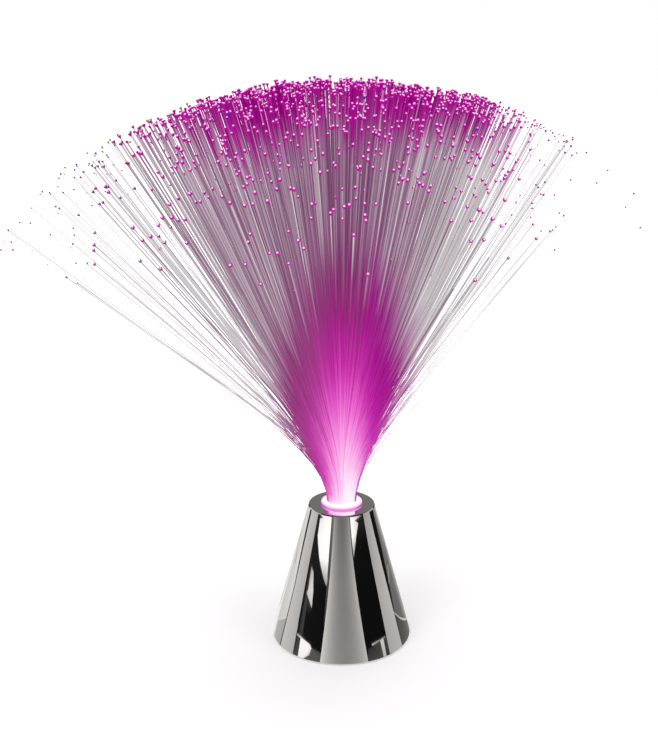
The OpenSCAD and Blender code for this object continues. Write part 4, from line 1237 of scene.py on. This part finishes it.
@dataclass
class Studio:
    """Floor, world, lamps, cards and camera. None of it is part of the lamp."""

    cone: ChromeBase = field(default_factory=ChromeBase)
    # The floor's half width and drop, its grey, and how far out it takes on a light of its own, and how much
    floor_r: float = 6.0
    floor_drop: float = 0.05 * MM
    floor_grey: float = 0.86
    floor_fade: Span = (0.06, 0.36)
    floor_lift: Span = (0.3, 1.0)
    lamp_aim: tuple[float, float, float] = (0.0, 0.0, 0.12)
    ring_r: float = 200.0 * MM
    ring_gap: float = 0.8 * MM
    card_z: float = 0.35 * MM
    card_gap: float = 0.15 * MM
    card_tint: Colour = (1.015, 1.0, 0.982)
    card_light: float = 1.1
    card_cells: int = 56
    ceiling_r: float = 1.0
    ceiling_z: float = 0.42
    ceiling_tone: float = 64.0
    world_fill: float = 0.58
    sensor: float = 36.0
    lens_px: float = 1156.6
    long_side_px: float = 750.0
    clip: Span = (0.01, 50.0)
    camera_at: tuple[float, float, float] = (-7.5 * MM, -635.5 * MM, 356.9 * MM)
    pitch: float = 0.2945

    def camera(self) -> None:
        """Stands the camera where the photograph was taken from."""
        data = bpy.data.cameras.new("camera")
        data.sensor_width = self.sensor
        data.lens = self.lens_px / self.long_side_px * data.sensor_width
        data.clip_start, data.clip_end = self.clip
        camera = bpy.data.objects.new("camera", data)
        camera.location = self.camera_at
        camera.rotation_euler = (math.pi / 2 - self.pitch, 0.0, 0.0)
        bpy.context.scene.collection.objects.link(camera)
        bpy.context.scene.camera = camera

    @staticmethod
    def _seen_directly(tree: bpy.types.NodeTree) -> bpy.types.NodeSocket:
        """1 for rays that come from the camera, a mirror or glass, and 0 for the rest."""
        path = tree.nodes.new("ShaderNodeLightPath")
        first = math_node(tree, "MAXIMUM", path.outputs["Is Camera Ray"], path.outputs["Is Glossy Ray"])
        return math_node(tree, "MAXIMUM", first, path.outputs["Is Transmission Ray"])

    def world(self) -> None:
        """A white world that fills the object with less light than it shows."""
        world = bpy.context.scene.world or bpy.data.worlds.new("studio")
        bpy.context.scene.world = world
        world.use_nodes = True
        tree = world.node_tree
        back = tree.nodes["Background"]
        back.inputs["Color"].default_value = (1.0, 1.0, 1.0, 1.0)
        seen = self._seen_directly(tree)
        tree.links.new(math_node(tree, "MULTIPLY_ADD", seen, 1.0 - self.world_fill, self.world_fill),
                       back.inputs["Strength"])

    def floor(self) -> None:
        """A pale floor that shows white where it is fully lit and keeps the lamp's shadow."""
        r, z = self.floor_r, -self.floor_drop
        floor = Surface(self._square(r, z), np.array([[0, 1, 2, 3]])).make("floor", smooth=False)
        material, tree, shader = new_material("pale_floor")
        for title, value in (("Base Color", (self.floor_grey, self.floor_grey, self.floor_grey, 1.0)),
                             ("Roughness", 1.0), ("Specular IOR Level", 0.0),
                             ("Emission Color", (1.0, 1.0, 1.0, 1.0))):
            shader.inputs[title].default_value = value
        spot, reach = tree.nodes.new("ShaderNodeTexCoord"), tree.nodes.new("ShaderNodeVectorMath")
        reach.operation = "LENGTH"
        tree.links.new(spot.outputs["Object"], reach.inputs[0])
        fade = tree.nodes.new("ShaderNodeMapRange")
        fade.interpolation_type = "SMOOTHSTEP"
        for name, value in zip(("From Min", "From Max", "To Min", "To Max"), self.floor_fade + self.floor_lift):
            fade.inputs[name].default_value = value
        tree.links.new(reach.outputs["Value"], fade.inputs["Value"])
        lift = math_node(tree, "MULTIPLY", self._seen_directly(tree), fade.outputs["Result"])
        tree.links.new(lift, shader.inputs["Emission Strength"])
        floor.data.materials.append(material)

    def lamps(self) -> None:
        """Three large soft lamps, high enough that the cone's wall doesn't mirror them."""
        for each in LAMPS:
            data = bpy.data.lights.new(each.name, "AREA")
            data.size, data.energy = each.size, each.watts
            lamp = bpy.data.objects.new(each.name, data)
            lamp.location = each.spot
            aim = np.array(self.lamp_aim) - np.array(each.spot)
            lamp.rotation_euler = (math.acos(-aim[2] / np.linalg.norm(aim)), 0.0,
                                   math.atan2(aim[1], aim[0]) - math.pi / 2)
            lamp.visible_glossy = False
            bpy.context.scene.collection.objects.link(lamp)

    @staticmethod
    def _square(r: float, z: float) -> np.ndarray:
        """Corners of a level square, from its half width and height."""
        return np.array([(-r, -r, z), (r, -r, z), (r, r, z), (-r, r, z)])

    def _clear_of_floor(self, layer: int) -> float:
        """How high a card's layer lies over the floor. Layers far behind the ring lie no lower than -1."""
        return self.card_z + self.card_gap * max(layer, -1)

    def _standing(self, angle: np.ndarray, rise: np.ndarray, layer: int) -> np.ndarray:
        """Points of a card that is laid out where it stands, on the ring or on the floor inside it."""
        r = self.ring_r + np.minimum(rise, 0.0) - self.ring_gap * layer
        z = np.maximum(rise, 0.0) + self._clear_of_floor(layer)
        return np.stack([r * np.sin(angle), -r * np.cos(angle), z], -1)

    def _mirrored(self, angle: np.ndarray, rise: np.ndarray, layer: int) -> np.ndarray:
        """Points of a card that is laid out by where it shows on the cone.

        A ray in direction d from the camera leaves the wall, whose normal is n, in the direction
        d - 2 (d . n) n. It is followed to the floor or to the ring of cards, whichever is nearer.

        Args:
            angle: Directions on the cone, in radians.
            rise: Heights on the cone.
            layer: How far in front of the ring and the floor the card stands.

        Returns:
            One point for each pair of direction and height.
        """
        cone = self.cone
        r = cone.low_r - cone.taper * (rise - cone.low_z)
        wall = np.stack([r * np.sin(angle), -r * np.cos(angle), rise], -1)
        normal = np.stack([np.sin(angle), -np.cos(angle), np.full_like(angle, cone.taper)], -1)
        normal /= math.hypot(1.0, cone.taper)
        ray = wall - np.array(self.camera_at)
        ray /= np.linalg.norm(ray, axis=-1, keepdims=True)
        out = ray - 2.0 * (ray * normal).sum(-1, keepdims=True) * normal
        a, b = (out[..., :2] ** 2).sum(-1), (out[..., :2] * wall[..., :2]).sum(-1)
        c = (wall[..., :2] ** 2).sum(-1) - (self.ring_r - self.ring_gap * layer) ** 2
        to_ring = (np.sqrt(b * b - a * c) - b) / a
        drop = wall[..., 2] - self._clear_of_floor(layer)
        to_floor = np.where(out[..., 2] < 0.0, drop / np.maximum(-out[..., 2], 1e-6), np.inf)
        return wall + out * np.minimum(to_ring, to_floor)[..., None]

    def card_patch(self, card: Card) -> Surface:
        """A card as a curved patch.

        With u across and v up, both from 0 to 1, direction, place and tone are bilinear in the corners'
        values, and the tone is then lowered by dip (1 - (2u - 1)^2).

        Args:
            card: The card to build.

        Returns:
            The patch, with its tone as the colour "glow".
        """
        cells = self.card_cells
        u, v = np.meshgrid(np.linspace(0, 1, cells + 1), np.linspace(0, 1, cells + 1), indexing="ij")
        corners = [np.array(c, float) for c in (card.low_left, card.low_right, card.high_right, card.high_left)]
        weights = [(1 - u) * (1 - v), u * (1 - v), u * v, (1 - u) * v]
        spot = sum(w[..., None] * c for w, c in zip(weights, corners))
        tone = spot[..., 2] * (1.0 - card.dip * (1.0 - (2 * u - 1) ** 2))
        lay = self._mirrored if card.traced else self._standing
        points = lay(np.radians(spot[..., 0]), spot[..., 1] * MM, card.layer).reshape(-1, 3)
        i, k = (g.ravel() for g in np.meshgrid(np.arange(cells), np.arange(cells), indexing="ij"))
        first = i * (cells + 1) + k
        faces = np.stack([first, first + cells + 1, first + cells + 2, first + 1], -1)
        return Surface(points, faces, {"glow": linear(tone.reshape(-1, 1) * np.array(self.card_tint))})

    def ceiling(self) -> Surface:
        """A wide grey card overhead, so that rounded edges mirror something darker than the world."""
        tones = np.full((4, 3), self.ceiling_tone)
        return Surface(self._square(self.ceiling_r, self.ceiling_z), np.array([[0, 1, 2, 3]]),
                       {"glow": linear(tones)})

    def cards(self) -> None:
        """Stands the cards round the lamp, seen by mirrors alone."""
        material = bpy.data.materials.new("studio_card")
        material.use_nodes = True
        tree = material.node_tree
        tree.nodes.remove(tree.nodes["Principled BSDF"])
        light, tone = tree.nodes.new("ShaderNodeEmission"), tree.nodes.new("ShaderNodeAttribute")
        tone.attribute_name = "glow"
        light.inputs["Strength"].default_value = self.card_light
        tree.links.new(tone.outputs["Color"], light.inputs["Color"])
        tree.links.new(light.outputs["Emission"], tree.nodes["Material Output"].inputs["Surface"])
        material.cycles.emission_sampling = "NONE"
        patches = [self.card_patch(card) for card in (*BACKING, *TRACED, BEHIND)] + [self.ceiling()]
        for number, surface in enumerate(patches):
            patch = surface.make(f"card_{number}", smooth=False)
            patch.data.materials.append(material)
            patch.visible_camera = patch.visible_diffuse = patch.visible_transmission = False
            patch.visible_shadow = patch.visible_volume_scatter = False
        LOG.info("studio: %d cards", len(patches))

    def build(self) -> None:
        """Sets the whole studio up."""
        bpy.context.scene.view_settings.view_transform = "Standard"
        self.camera()
        self.world()
        self.floor()
        self.lamps()
        self.cards()


def dress_nodes(bench: Bench, finishes: dict[str, bpy.types.Material]) -> None:
    """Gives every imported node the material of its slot.

    Args:
        bench: Builds the materials of the nodes that dressed pieces stand for.
        finishes: Materials by slot.
    """
    known = {**finishes, **{slot: bench.finish(finish) for slot, finish in NODE_FINISHES}}
    for row in frame["record"]["subparts"]:
        node = frame["nodes"][row["node"]]
        material = known.get(row["material_slot"])
        if material is None:
            continue
        node.data.materials.clear()
        node.data.materials.append(material)


def main() -> None:
    """Builds the studio and every piece, in order."""
    logging.basicConfig(level=logging.INFO, format="%(name)s: %(message)s")
    Studio().build()
    bench = Bench()
    finishes = {finish.name: bench.finish(finish) for finish in FINISHES}
    finishes["board_green"] = bench.board()
    dress_nodes(bench, finishes)
    ChromeBase().build(bench, finishes)
    Socket().build(bench)
    Spray().build(bench)


if __name__ == "__main__":
    main()
